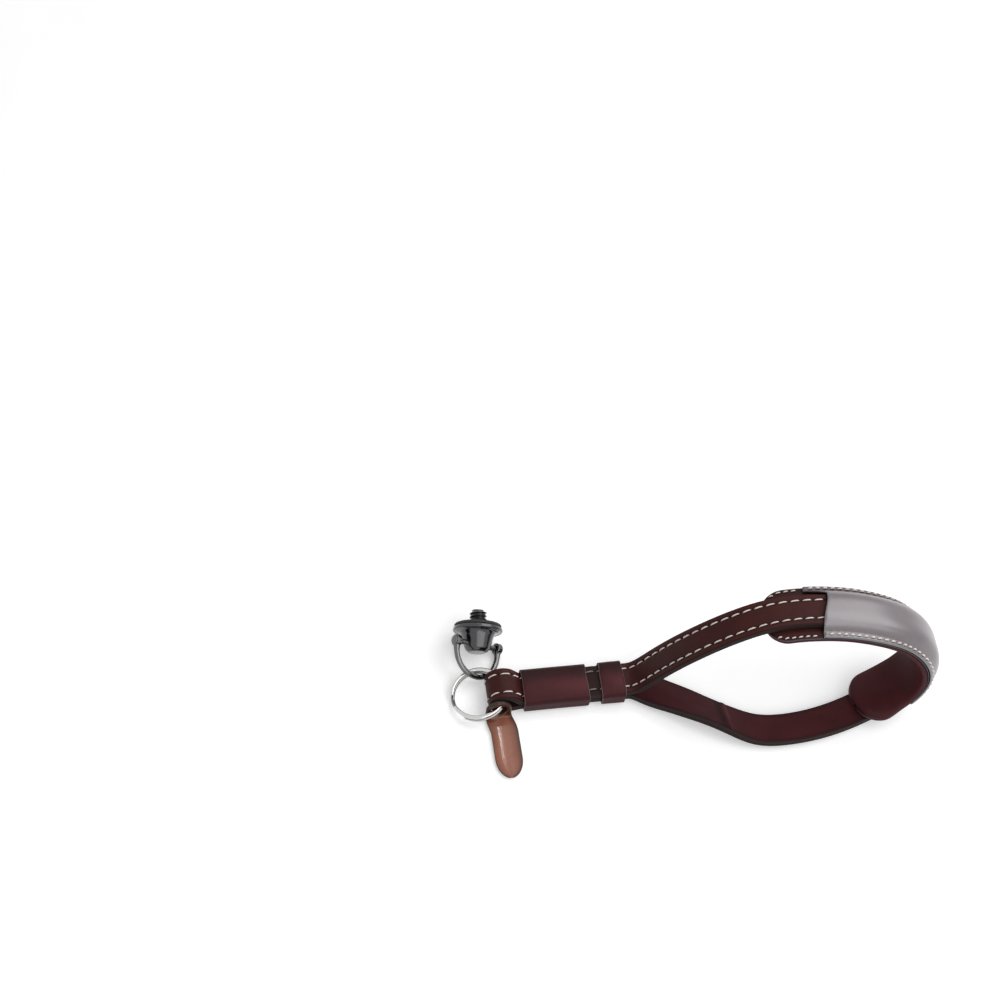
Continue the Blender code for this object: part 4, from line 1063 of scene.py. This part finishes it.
def build_pad_cover():
    """The polished cover: an arch across the strap with sewn flanges and straight cut ends.

    Its far flange runs on a little at the upper end, by a smooth step across the flange.
    """
    half = size("pad_width") / 2 - COVER_INSET
    side = size("width") / 2 + COVER_SIDE_CLEAR
    start, end = PAD_FROM + COVER_SETBACK, PAD_TO - COVER_SETBACK
    at = np.linspace(start, end, 190)[:, None]
    share = np.linspace(-1, 1, 81)
    across = share[None, :] * half
    row = size("pad_width") / 2 - PAD_STITCH_INSET
    pitch = size("pad_pitch")
    middles = stitch_places(start, end, pitch)
    sag = 0.07 * np.sin(at * 0.21 + 1.0) * (1 - share**2)[None, :]
    near_end = np.minimum(at - start, end - at)
    lip = COVER_LIP * (1 - smooth_step(near_end, 0.0, 0.5))
    drawn = COVER_PUCKER * pucker(at, across, middles, pitch, row)
    top = cover_height(across, side) + sag - lip - drawn
    top = top - COVER_RIM * smooth_step(np.abs(share), 0.965, 1.0)
    thick = COVER_THICK * (0.6 + 0.4 * smooth_step(near_end, 0.0, 2.0))
    under = np.minimum(cover_height(across, side) - thick, top - 0.5)
    under = np.maximum(under, FLANGE_LOW)
    lean = ((FLANGE_LEAN + CROWN_SKEW) * smooth_step(across, side - 0.3, side + 1.5)
            - CROWN_SKEW * smooth_step(across, -side, side - 1.0))
    lean = lean * smooth_step(at, end - SKEW_RUN, end)
    across = out_and_back(across + 0 * at, across + 0 * at)
    points = PAD.place(at + out_and_back(lean, lean), across, out_and_back(top, under))
    edge = np.maximum((np.abs(across) > half - 0.12).astype(float),
                      (near_end < 0.3).astype(float) + 0 * across)
    # Darker along the stitch rows and at each hole, with painted shade at the foot of the arch on
    # the far side.
    dark = (0.25 * bell(np.abs(across) - row, 0.4) + holes(at, across, middles, pitch, row)
            + 0.5 * bell(across - side - 0.9, 1.0))
    polish = (1 - 0.75 * smooth_step(across, side - 1.0, side + 1.2)
              - 0.4 * bell(across + row, 0.4))
    put_skin("pad_cover_leather", points, finish_of("pad_cover_leather"), "strap",
             ["pad_cover"], "pad_cover_leather", along=at[:, 0], strip=True,
             marks={"edge": edge, "dark": dark.clip(0, 1), "polish": polish.clip(0, 1)})


def build_pad_stitches():
    """Stitches on the cover's flanges and round the bare ends of the base, up to the strap."""
    width, thread, pitch = size("pad_width") / 2, size("thread"), size("pad_pitch")
    start, end = PAD_FROM + COVER_SETBACK, PAD_TO - COVER_SETBACK
    length = pitch * PAD_STITCH_SHARE
    for label, hand in (("far", 1), ("near", -1)):
        stop = end + FLANGE_LEAN * (hand > 0)
        on_cover = stitch_places(start + 0.6, stop - 0.6, pitch)
        parts = stitches(PAD, hand * (width - PAD_STITCH_INSET), on_cover, FLANGE_TOP + 0.06,
                         length, thread * COVER_THREAD)
        for first, last in ((PAD_FROM, start - 0.8), (stop + 0.8, PAD_TO)):
            bare = stitch_places(first, last, pitch)
            where = pad_half(bare) - PAD_STITCH_INSET
            clear = where > size("width") / 2 + COVER_SIDE_CLEAR + thread
            parts += stitches(PAD, hand * where[clear], bare[clear], PAD_TOP + 0.04, length,
                              thread)
        put_stitches(f"pad_stitches_{label}", parts, f"pad_thread_{label}")


# Sleeve and keeper


BAND_SOFT = 0.22                # how far a band's cut lips bulge
BAND_SWELL = 0.75               # how far its top swells between its lips
BAND_STEP = 0.45                # distance between two points along it


def wall_loop(low, high):
    """Lengths and offsets round a band's wall, and where they lie on a cut lip."""
    wall, length = BAND_WALL / 2, high - low
    step = (length - 2 * BAND_SOFT) * np.linspace(0, 1, max(24, int(length / BAND_STEP)))
    lip = np.radians(np.linspace(90, -90, 9))[1:-1]
    bulge, drop, flat = BAND_SOFT * np.cos(lip), wall * np.sin(lip), np.full(len(step), wall)
    rows = np.vstack((
        np.stack((low + BAND_SOFT + step, flat), axis=1),
        np.stack((high - BAND_SOFT + bulge, drop), axis=1),
        np.stack((high - BAND_SOFT - step, -flat), axis=1),
        np.stack((low + BAND_SOFT - bulge[::-1], drop[::-1]), axis=1),
    ))
    return rows, np.repeat((0.0, 1.0, 0.0, 1.0), (len(step), len(lip), len(step), len(lip)))


def build_band(name, low, high, body, node, seed):
    """A wrap of leather round both legs: a wall loop carried round a rounded rectangle.

    The wall loop runs over the outside, round one cut lip, back inside and round the other. The
    outside swells a little between the lips, and each lip wanders by a slow wave.
    """
    wall, length = BAND_WALL / 2, high[0] - low[0]
    loop, normal, even = rounded_loop(high[1] - wall, low[2] + wall, high[2] - wall,
                                      BAND_CORNER - wall)
    rows, lips = wall_loop(low[0], high[0])
    x, off = rows[:, :1], rows[:, 1:]
    side, on_top = loop[None, :, 0], np.clip(normal[None, :, 1], 0, 1)
    turn = even / even[-1] * TAU
    share = (x - low[0]) / length
    outer = (off > 0).astype(float)
    crown = np.clip(1 - (side / (high[1] - 0.5))**2, 0, 1)
    swell = outer * (BAND_SWELL * np.clip(np.sin(math.pi * share), 0, 1) ** 0.35 * on_top * crown
                     + 0.04 * np.sin(3.1 * share + 2 * turn + seed)
                     + 0.03 * np.sin(9.0 * share + 3 * turn) * on_top)
    wander = (0.14 * np.sin(turn * 2 + seed) + 0.06 * np.sin(turn * 5 + 1.7 * seed))[None, :]
    wander = wander * (smooth_step(share, 0.6, 1.0) - 1 + smooth_step(share, 0.0, 0.4))
    spread = off + swell
    y = side + spread * normal[None, :, 0]
    z = np.maximum(loop[None, :, 1] + spread * normal[None, :, 1], low[2])
    edge = np.broadcast_to(lips[:, None], y.shape)
    # Painted highlight along the top towards the near side; painted shade over the far half and
    # along the near edge.
    rub = outer * bell(side + 2.0, 2.6) * on_top * smooth_step(share, 0.1, 0.8)
    dark = outer * np.maximum(0.85 * smooth_step(side, -0.5, 4.0),
                              0.5 * smooth_step(-side, 4.8, high[1]))
    around = np.append(even, even[-1] + even[1])
    put_skin(name, np.stack((x + wander, y, z), axis=-1), finish_of("sleeve_leather"), body,
             [node], "sleeve_leather", wrap_rows=True, along=run_length(rows),
             around=around, marks={"edge": edge, "rub": rub, "dark": dark})


# Ring, bail, screw and washer


RING_FLAT = 0.93                # the wire's two flat faces, as a share of its radius
BAIL_START = 0.9                # from the pin's middle to the end of the bail's wire
BAIL_SQUEEZE = 0.32             # how much wider the wire gets towards each end
EAR_CHAMFER = 0.3


def ring_frame():
    """Radius, half height, slope and sideways play of the split ring in the eye."""
    wire = size("ring_wire")
    radius = (RING_OUTER - wire) / 2
    half_stack = (2 * wire + RING_COIL_GAP) / 2
    slope = math.asin((EYE_Z - half_stack - FLOOR_GAP - RING_REST) / (2 * radius))
    sway = (radius - math.sqrt(radius**2 - (size("width") / 2)**2)) / 2
    return radius, half_stack, slope, sway


def ring_point(heading, height=0.0):
    """A point of the ring's middle line, or an array of them, in the ring's own frame."""
    radius, _, _, sway = ring_frame()
    return radius * np.cos(heading) - radius + sway, radius * np.sin(heading), height


def ring_place(local):
    """Points of the split ring's own frame, sloped and moved into the eye."""
    _, _, slope, _ = ring_frame()
    turn = np.array(Matrix.Rotation(-slope, 3, "Y"))
    return local @ turn.T + np.array([EYE_X, 0.0, EYE_Z])


def build_ring():
    """A split ring: two turns of flattened wire that step from one level to the next.

    The level goes by a smooth step over the crossing, and both cut ends taper by a cosine.
    """
    wire = size("ring_wire")
    radius, half_stack, _, _ = ring_frame()
    level = half_stack - wire / 2
    cross = math.radians(RING_CROSS_ANGLE)
    a = np.linspace(cross * RING_END, 2 * TAU - cross * RING_END, 420)
    z = level * (2 * smooth_step(a, TAU - cross, TAU + cross) - 1)
    heading = math.radians(RING_CROSS_AT) + a
    middle = np.stack(ring_point(heading, z), axis=1)
    tip = np.minimum(a - a[0], a[-1] - a) * radius
    thick = wire / 2 * (0.45 + 0.55 * smooth_step(tip, 0.0, 1.1))
    rings = tube(middle, thick)
    flat, z = thick[:, None] * RING_FLAT, z[:, None]
    rings[..., 2] = z + np.clip(rings[..., 2] - z, -flat, flat)
    # Painted shade and dark reflection where the two turns face each other.
    between = np.clip(-np.sign(z) * (rings[..., 2] - z) / (wire / 2), 0, 1) ** 2
    put_skin("ring_coil", ring_place(rings), finish_of("polished_steel"), "ring",
             ["split_ring"], "polished_steel", along=run_length(middle),
             marks={"dark": between})


def hardware_matrix():
    """Origin at the pin's middle, X towards the ring, Y along the pin, Z out of the bail."""
    tilt, roll, heading = (math.radians(v) for v in (BAIL_TILT, BAIL_ROLL, BAIL_HEADING))
    ahead = Vector((-math.sin(heading), -math.cos(heading), 0.0))
    reach = ahead * math.cos(tilt) - Vector((0, 0, math.sin(tilt)))
    level = Vector((0, 0, 1)).cross(ahead).normalized()
    upright = reach.cross(level)
    upright = upright if upright.z > 0 else -upright
    pin = level * math.cos(roll) - upright * math.sin(roll)
    radius, _, _, sway = ring_frame()
    far = ring_place(np.array([[sway - radius, radius, 0.0]]))[0]
    tip = Vector((far[0], far[1] - size("ring_wire") / 2 - BAIL_SLACK - size("bail_wire") / 2, 0))
    spot = tip - reach * (BAIL_HALF + BAIL_STRAIGHT)
    spot.z = FLANGE_DIAMETER / 2 * math.cos(tilt) + FLOOR_GAP - FLANGE_TO_PIN * math.sin(tilt)
    return np.array((reach, pin, reach.cross(pin))), np.array(spot)


def hardware_place(points):
    """Points of the bail's own frame, turned and moved to the strap's frame."""
    axes, spot = hardware_matrix()
    return points @ axes + spot


def build_bail():
    """A bent wire, an arch on two straight sides, that ends in two pierced ears round the pin."""
    wire = size("bail_wire")
    a = np.linspace(-math.pi / 2, math.pi / 2, 90)
    arch = np.stack((BAIL_STRAIGHT + BAIL_HALF * np.cos(a), BAIL_HALF * np.sin(a), 0 * a), axis=1)
    side = np.zeros((9, 3))
    side[:, 0] = np.linspace(BAIL_START, BAIL_STRAIGHT, 10)[:-1]
    side[:, 1] = -BAIL_HALF
    middle = np.vstack((side, arch, (side * (1, -1, 1))[::-1]))
    at = run_length(middle)
    near_end = np.minimum(at, at[-1] - at)
    squeeze = 1 + BAIL_SQUEEZE * (1 - smooth_step(near_end, 0.0, 3.2))
    rings = tube(middle, wire / 2 * squeeze)
    put_skin("bail_wire", hardware_place(rings), finish_of("bail_nickel"), "bail", ["bail"],
             "polished_steel", along=at)
    bore, bevel = PIN_DIAMETER / 2 + GAP * 0.5, EAR_CHAMFER
    for label, hand in (("left", -1), ("right", 1)):
        low, high = hand * BAIL_HALF - EAR_THICK / 2, hand * BAIL_HALF + EAR_THICK / 2
        outline = rounded_outline((
            (low + bevel, bore), (low, bore + bevel), (low, EAR_RADIUS),
            (high, EAR_RADIUS), (high, bore + bevel), (high - bevel, bore)), 0.45)
        ear = hardware_place(turned(outline, 48)[..., [1, 0, 2]])
        put_skin(f"bail_ear_{label}", np.swapaxes(ear, 0, 1), finish_of("bail_nickel"), "bail", [],
                 "polished_steel", wrap_rows=True)


def build_pin():
    """A riveted pin: a shank between two domed heads."""
    shank = BAIL_HALF + EAR_THICK / 2 + GAP * 0.6
    head, radius = PIN_HEAD_DIAMETER / 2, PIN_DIAMETER / 2
    dome = np.linspace(0.02, math.pi / 2, 10)
    end = np.stack((-shank - PIN_HEAD_THICK * np.cos(dome), head * np.sin(dome)), axis=1)
    half = np.vstack((end, [(-shank, head), (-shank, radius), (-shank + 0.3, radius)]))
    outline = np.vstack((half, (half * (-1, 1))[::-1]))
    points = hardware_place(turned(outline, 40)[..., [1, 0, 2]])
    put_skin("pin_rivet", points, finish_of("bail_nickel"), "bail", ["pivot_pin"],
             "polished_steel")


def build_screw():
    """The tripod screw: domed boss, flange with a rolled rim and a stud with its helical thread.

    On the stud the radius follows a triangle wave of (along / pitch - angle / turn), which fades
    at both ends of the thread.
    """
    face, rim, stud = -FLANGE_TO_PIN, FLANGE_DIAMETER / 2, STUD_DIAMETER / 2
    back, nose = face - FLANGE_THICK, face + BOSS_LENGTH
    tip = back - STUD_LENGTH
    top, foot = BOSS_TIP_DIAMETER / 2, BOSS_BASE_DIAMETER / 2
    body = rounded_outline((
        (nose, 0.02), (nose, top - 1.2), (nose - 1.2, top), (face + 1.2, foot - 0.5),
        (face + 0.02, foot + 0.3), (face, rim - 1.4), (face - 0.25, rim - 1.0),
        (face - 0.1, rim - 0.5), (face - 0.35, rim), (back + 0.3, rim), (back, rim - 0.35),
        (back, stud + 0.3), (back - 0.35, stud - 0.2)), 0.5, 6)
    shank = np.linspace(back - 0.5, tip + 0.02, 130)
    shank = np.stack((shank, np.full_like(shank, stud)), axis=1)
    outline = np.vstack((body, shank, [(tip, stud - 0.9), (tip, 0.02)]))
    sides = 96
    rings = turned(outline, sides)
    x, plain = outline[:, :1], outline[:, 1:]
    phase = (x / THREAD_PITCH - np.arange(sides)[None, :] / sides) % 1.0
    ridge = np.abs(2 * phase - 1)
    threaded = smooth_step(back - 0.9 - x, 0.0, 0.9) * (x > tip - 0.01)
    chamfer = 1 - 0.26 * smooth_step(x, tip + 1.0, tip - 0.01)
    radius = plain - threaded * THREAD_DEPTH * np.clip(1.15 * ridge - 0.08, 0, 1)
    radius = np.where(threaded > 0, radius * chamfer, radius)
    scale = np.where(plain > 0.5, radius / np.maximum(plain, 0.01), 1.0)
    rings[..., 1:] *= scale[..., None]
    put_skin("screw_turned", hardware_place(rings), finish_of("dark_plated_steel"), "screw",
             ["tripod_screw"], "dark_plated_steel")


def build_washer():
    """A soft washer with a rolled edge and shallow rings pressed in its seat."""
    face = -FLANGE_TO_PIN - FLANGE_THICK - GAP * 0.4
    inner, outer = STUD_DIAMETER / 2 + GAP, WASHER_DIAMETER / 2
    back = face - WASHER_THICK
    radii = np.linspace(outer - 0.6, inner + 0.5, 60)
    seat = np.stack((back + 0.07 * (1 - np.cos(TAU * (radii - inner) / 1.1)), radii), axis=1)
    outline = np.vstack(([(face, inner + 0.2), (face, outer - 0.3), (face - 0.25, outer),
                          (back + 0.3, outer), (back + 0.05, outer - 0.25)], seat,
                         [(back + 0.2, inner), (face - 0.2, inner)]))
    points = np.swapaxes(hardware_place(turned(outline, 96)), 0, 1)
    put_skin("washer_seat", points, finish_of("washer_rubber"), "screw", ["seat_washer"],
             "washer_rubber", wrap_rows=True)


# Tag


TAG_SQUARE, TAG_FLAT = 0.28, 0.55       # powers of the cosine and the sine in its section
TAG_SWELL = 0.45                        # how far its upper face swells


def build_tag():
    """A tongue of leather: an upright head pierced for the ring, a bend and a flat run.

    Half the width follows a circle at the head, a smooth step to the tongue and half an ellipse
    at its tip. Faces swell slightly and the rim is rounded.
    """
    stand = -size("width") / 2 - GAP - TAG_THICK / 2
    bearing = math.asin(stand / ring_frame()[0])
    hole = ring_place(np.array([ring_point(bearing)]))[0]
    lie = TAG_THICK / 2 + FLOOR_GAP
    upright = np.linspace(hole[2] + TAG_NECK_HALF, lie + TAG_BEND, 24)
    turn = np.radians(np.linspace(0, 90, 16))[1:]
    flat = np.linspace(stand - TAG_BEND, stand - TAG_REACH, 60)[1:]
    y = np.concatenate((np.full_like(upright, stand),
                        stand - TAG_BEND + TAG_BEND * np.cos(turn), flat))
    z = np.concatenate((upright, lie + TAG_BEND - TAG_BEND * np.sin(turn), np.full_like(flat, lie)))
    x = hole[0] + TAG_SHIFT * smooth_step(stand - y, 0.0, TAG_REACH * 0.3)
    run = Run(np.stack((x, y, z), axis=1), np.zeros(len(x)), (1, 0, 0))
    length = run.length()
    ends = TAG_NECK_HALF * (1 - np.cos(np.linspace(0.05, math.pi / 2, 22)))
    at = np.concatenate((ends, np.arange(5.0, length - 8.0, 0.4), length - 1.7 * ends[::-1]))
    at = at[:, None]
    half = TAG_NECK_HALF + (TAG_HALF - TAG_NECK_HALF) * smooth_step(
        at, TAG_NECK_HALF, TAG_NECK_HALF + TAG_REACH * 0.45)
    head = np.sqrt(np.maximum(1 - (1 - np.minimum(at / TAG_NECK_HALF, 1))**2, 0.0))
    tongue = TAG_HALF * 1.5
    tip = np.sqrt(np.maximum(1 - np.clip((at - length + tongue) / tongue, 0, 1)**2, 0.0))
    half = half * np.maximum(np.minimum(head, tip), 0.02)
    section = circle(64, 0.5)
    wide = np.sign(np.cos(section)) * np.abs(np.cos(section)) ** TAG_SQUARE
    thick = np.sign(np.sin(section)) * np.abs(np.sin(section)) ** TAG_FLAT
    swell = 1 + TAG_SWELL * (1 - wide**2) * smooth_step(at, TAG_NECK_HALF * 2, TAG_NECK_HALF * 3)
    thin = smooth_step(half, 0.0, 1.4)
    out = TAG_THICK / 2 * thick * np.where(thick < 0, swell, 1.0) * (0.35 + 0.65 * thin)
    edge = np.clip((np.abs(wide) - 0.965) / 0.02, 0, 1) + 0 * at
    # Painted highlight on the left of the upper face; the colour darkens towards the head, and
    # painted shade lies along the right side.
    rub = bell(wide[None, :] + 0.25, 0.35) * bell(at - length * 0.62, length * 0.2) * (thick < 0)
    dark = (0.95 * (1 - smooth_step(at, TAG_NECK_HALF * 1.5, TAG_NECK_HALF * 2.5))
            + 0.8 * smooth_step(wide, 0.45, 0.95)[None, :]).clip(0, 1) + 0 * edge
    polish = 0.2 + 0.8 * bell(wide[None, :] + 0.35, 0.4) + 0 * edge
    made = put_skin("tag_tongue", run.place(at, half * wide, out), finish_of("tag_leather"), "tag",
                    ["tag"], "tag_leather", along=at[:, 0],
                    marks={"edge": edge, "rub": rub, "dark": dark, "polish": polish})
    pierce(made, hole, TAG_HOLE / 2)


def pierce(target, middle, radius):
    """Cut a round hole along Y through a piece with a tapered cutter, and keep the result."""
    half, reach = TAG_THICK / 2, TAG_THICK * 1.2
    lip = ((-reach, radius + 0.5), (-half - 0.02, radius + 0.22), (-half + 0.3, radius),
           (half - 0.3, radius), (half + 0.02, radius + 0.22), (reach, radius + 0.5))
    rings = turned(lip, 64)[..., [1, 0, 2]] + middle * np.array([1, 0, 1])
    rings[..., 1] += -size("width") / 2 - GAP - TAG_THICK / 2
    vertices, faces, _, _ = skin(rings)
    if inside_out(vertices, faces):
        faces = [tuple(reversed(f)) for f in faces]
    mesh = bpy.data.meshes.new("hole_cutter")
    mesh.from_pydata(vertices * MM, [], faces)
    cutter = link("hole_cutter", mesh)
    step = target.modifiers.new("hole", "BOOLEAN")
    step.operation, step.solver, step.object = "DIFFERENCE", "EXACT", cutter
    graph = bpy.context.evaluated_depsgraph_get()
    cut_mesh = bpy.data.meshes.new_from_object(target.evaluated_get(graph))
    target.modifiers.clear()
    target.data = cut_mesh
    bpy.data.objects.remove(cutter, do_unlink=True)


# Stage


CAMERA_AZIMUTH, CAMERA_ELEVATION, CAMERA_ROLL = -15.0, 57.0, 8.0
LENS, SENSOR, PICTURE = 85.0, 36.0, 1000.0
ORIGIN_PIXEL = (553.0, 693.0)   # where the strap's origin lies in the picture


def build_camera():
    """The photograph's view: the camera turned about its own axis, with the origin on its pixel."""
    azimuth, elevation, roll = map(math.radians, (CAMERA_AZIMUTH, CAMERA_ELEVATION, CAMERA_ROLL))
    level = Vector((math.cos(azimuth), math.sin(azimuth), 0.0))
    away = Vector((math.sin(azimuth), -math.cos(azimuth), 0.0))
    back = away * math.cos(elevation) + Vector((0.0, 0.0, math.sin(elevation)))
    above = back.cross(level)
    right = level * math.cos(roll) + above * math.sin(roll)
    up = above * math.cos(roll) - level * math.sin(roll)
    focal = LENS / SENSOR * PICTURE
    aside, down = ((pixel - PICTURE / 2) / focal for pixel in ORIGIN_PIXEL)
    ray = -back + right * aside - up * down
    data = bpy.data.cameras.new("camera")
    data.lens, data.sensor_width = LENS, SENSOR
    data.clip_start, data.clip_end = 0.01, 20.0
    camera = link("camera", data)
    camera.matrix_world = Matrix.Translation(-ray * size("distance") * MM) @ Matrix(
        (right, up, back)).transposed().to_4x4()
    bpy.context.scene.camera = camera


def add_lamp(name, place, aim, width, height, power):
    """A soft rectangular lamp that faces a point."""
    data = bpy.data.lights.new(name, "AREA")
    data.shape, data.size, data.size_y, data.energy = "RECTANGLE", width, height, power
    lamp = link(name, data)
    lamp.location = place
    lamp.rotation_euler = (Vector(aim) - Vector(place)).to_track_quat("-Z", "Y").to_euler()


def white_for_camera(tree, shader, output):
    """Mix a shader with plain white for camera, glossy and transmission rays."""
    nodes, links = tree.nodes, tree.links
    path = nodes.new("ShaderNodeLightPath")
    first, second = nodes.new("ShaderNodeMath"), nodes.new("ShaderNodeMath")
    white, mixed = nodes.new("ShaderNodeBackground"), nodes.new("ShaderNodeMixShader")
    first.operation = second.operation = "MAXIMUM"
    white.inputs["Color"].default_value = (1.0, 1.0, 1.0, 1.0)
    for source, target in (
            (path.outputs["Is Camera Ray"], first.inputs[0]),
            (path.outputs["Is Glossy Ray"], first.inputs[1]),
            (first.outputs[0], second.inputs[0]),
            (path.outputs["Is Transmission Ray"], second.inputs[1]),
            (second.outputs[0], mixed.inputs[0]),
            (shader, mixed.inputs[1]),
            (white.outputs[0], mixed.inputs[2]),
            (mixed.outputs[0], output)):
        links.new(source, target)


FLOOR_WHITE = 0.34               # added where the floor is seen or mirrored
FLOOR_FADE = (350.0, 1500.0)     # distances, in mm, over which the floor turns to plain white
FLOOR_HALF, FLOOR_DROP = 3.0, 0.0002     # its half width and its depth under the strap, in metres


def build_stage():
    """A pale floor, a white surround and soft studio lamps."""
    mesh = bpy.data.meshes.new("floor")
    mesh.from_pydata([(x * FLOOR_HALF, y * FLOOR_HALF, -FLOOR_DROP)
                      for x, y in ((-1, -1), (1, -1), (1, 1), (-1, 1))], [], [(0, 1, 2, 3)])
    floor = link("floor", mesh)
    finish = Finish("floor_paper", {"Roughness": 0.9, "Specular IOR Level": 0.1,
                                    "Emission Strength": 1.0})
    tooth = finish.noise(finish.place(), 0.05, 2.0)
    reach = finish.node("ShaderNodeVectorMath", {"operation": "LENGTH"}, {0: finish.place()})
    away = Value(finish, reach.outputs["Value"])
    path = finish.node("ShaderNodeLightPath").outputs
    seen, mirrored, through = (Value(finish, path[f"Is {ray} Ray"]) for ray in (
        "Camera", "Glossy", "Transmission"))
    glow = (seen + mirrored + through).clamp() * (finish.ramp(away, *FLOOR_FADE) + FLOOR_WHITE)
    mesh.materials.append(finish.set(
        Base_Color=finish.mix(tooth, (0.90, 0.90, 0.90), (0.94, 0.94, 0.94)),
        Emission_Color=finish.mix(glow, (0.0, 0.0, 0.0), (1.0, 1.0, 1.0))))
    world = bpy.data.worlds.new("studio")
    world.use_nodes = True
    tree = world.node_tree
    sky = tree.nodes["Background"]
    sky.inputs["Color"].default_value = (0.30, 0.30, 0.31, 1.0)
    white_for_camera(tree, sky.outputs[0], tree.nodes["World Output"].inputs[0])
    bpy.context.scene.world = world
    add_lamp("key", (0.25, -0.66, 0.62), (0.08, 0.0, 0.03), 0.95, 0.62, 2.8)
    add_lamp("overhead_sheen", (0.55, 0.06, 0.80), (0.10, 0.0, 0.03), 0.95, 0.80, 5.2)
    add_lamp("spark", (0.03, 0.50, 0.85), (0.0, 0.0, 0.0), 0.035, 0.2, 0.6)
    build_camera()
    bpy.context.scene.view_settings.view_transform = "Standard"


# Operators


class STRAP_OT_stage(bpy.types.Operator):
    """Add the floor, the lamps and the camera"""

    bl_idname = "strap.stage"
    bl_label = "Stage"
    bl_options = {"REGISTER", "UNDO"}

    def execute(self, context):
        build_stage()
        return {"FINISHED"}


class STRAP_OT_leather(bpy.types.Operator):
    """Build the strap's outer leather and its lining"""

    bl_idname = "strap.leather"
    bl_label = "Strap Leather"
    bl_options = {"REGISTER", "UNDO"}

    def execute(self, context):
        build_outer_leather()
        build_lining()
        return {"FINISHED"}


class STRAP_OT_stitches(bpy.types.Operator):
    """Sew the strap and the pad with cream stitches"""

    bl_idname = "strap.stitches"
    bl_label = "Stitches"
    bl_options = {"REGISTER", "UNDO"}

    def execute(self, context):
        build_strap_stitches()
        build_pad_stitches()
        return {"FINISHED"}


class STRAP_OT_pad(bpy.types.Operator):
    """Build the wrist pad's base, cushion and cover"""

    bl_idname = "strap.pad"
    bl_label = "Wrist Pad"
    bl_options = {"REGISTER", "UNDO"}

    def execute(self, context):
        build_pad_base()
        build_pad_cushion()
        build_pad_cover()
        refinish("pad_core", "pad_foam")
        return {"FINISHED"}


class STRAP_OT_bands(bpy.types.Operator):
    """Wrap the sleeve and the keeper round both legs"""

    bl_idname = "strap.bands"
    bl_label = "Sleeve and Keeper"
    bl_options = {"REGISTER", "UNDO"}

    def execute(self, context):
        build_band("sleeve_wrap", SLEEVE_LOW, SLEEVE_HIGH, "strap", "sleeve", 0.6)
        build_band("keeper_wrap", KEEPER_LOW, KEEPER_HIGH, "keeper", "keeper", 2.1)
        refinish("sleeve_seam_thread", "dark_thread")
        refinish("keeper_seam_thread", "dark_thread")
        return {"FINISHED"}


class STRAP_OT_ring(bpy.types.Operator):
    """Wind the split ring"""

    bl_idname = "strap.ring"
    bl_label = "Split Ring"
    bl_options = {"REGISTER", "UNDO"}

    def execute(self, context):
        build_ring()
        return {"FINISHED"}


class STRAP_OT_hardware(bpy.types.Operator):
    """Build the bail, its pin, the tripod screw and its washer"""

    bl_idname = "strap.hardware"
    bl_label = "Bail and Screw"
    bl_options = {"REGISTER", "UNDO"}

    def execute(self, context):
        build_bail()
        build_pin()
        build_screw()
        build_washer()
        return {"FINISHED"}


class STRAP_OT_tag(bpy.types.Operator):
    """Cut and bend the tan leather tag"""

    bl_idname = "strap.tag"
    bl_label = "Tag"
    bl_options = {"REGISTER", "UNDO"}

    def execute(self, context):
        build_tag()
        return {"FINISHED"}


OPERATORS = (STRAP_OT_stage, STRAP_OT_leather, STRAP_OT_stitches, STRAP_OT_pad, STRAP_OT_bands,
             STRAP_OT_ring, STRAP_OT_hardware, STRAP_OT_tag)


class STRAP_PT_panel(bpy.types.Panel):
    """Lists the sizes, the colours and the operators"""

    bl_idname = "STRAP_PT_panel"
    bl_label = "Wrist Strap"
    bl_space_type = "VIEW_3D"
    bl_region_type = "UI"
    bl_category = "Strap"

    def draw(self, context):
        for group in (context.scene.strap_sizes, context.scene.strap_colours):
            box = self.layout.box()
            for name in group.__annotations__:
                box.prop(group, name)
        for operator in OPERATORS:
            self.layout.operator(operator.bl_idname)


CLASSES = (StrapSizes, StrapColours, *OPERATORS, STRAP_PT_panel)


def register():
    """Add the classes and the two groups of settings."""
    for item in CLASSES:
        bpy.utils.register_class(item)
    bpy.types.Scene.strap_sizes = PointerProperty(type=StrapSizes)
    bpy.types.Scene.strap_colours = PointerProperty(type=StrapColours)


def unregister():
    """Take them away again."""
    del bpy.types.Scene.strap_colours
    del bpy.types.Scene.strap_sizes
    for item in reversed(CLASSES):
        bpy.utils.unregister_class(item)


def main():
    """Build every piece."""
    register()
    bpy.ops.strap.stage()
    bpy.ops.strap.leather()
    bpy.ops.strap.stitches()
    bpy.ops.strap.pad()
    bpy.ops.strap.bands()
    bpy.ops.strap.ring()
    bpy.ops.strap.hardware()
    bpy.ops.strap.tag()
    bpy.context.view_layer.update()


if __name__ == "__main__":
    main()
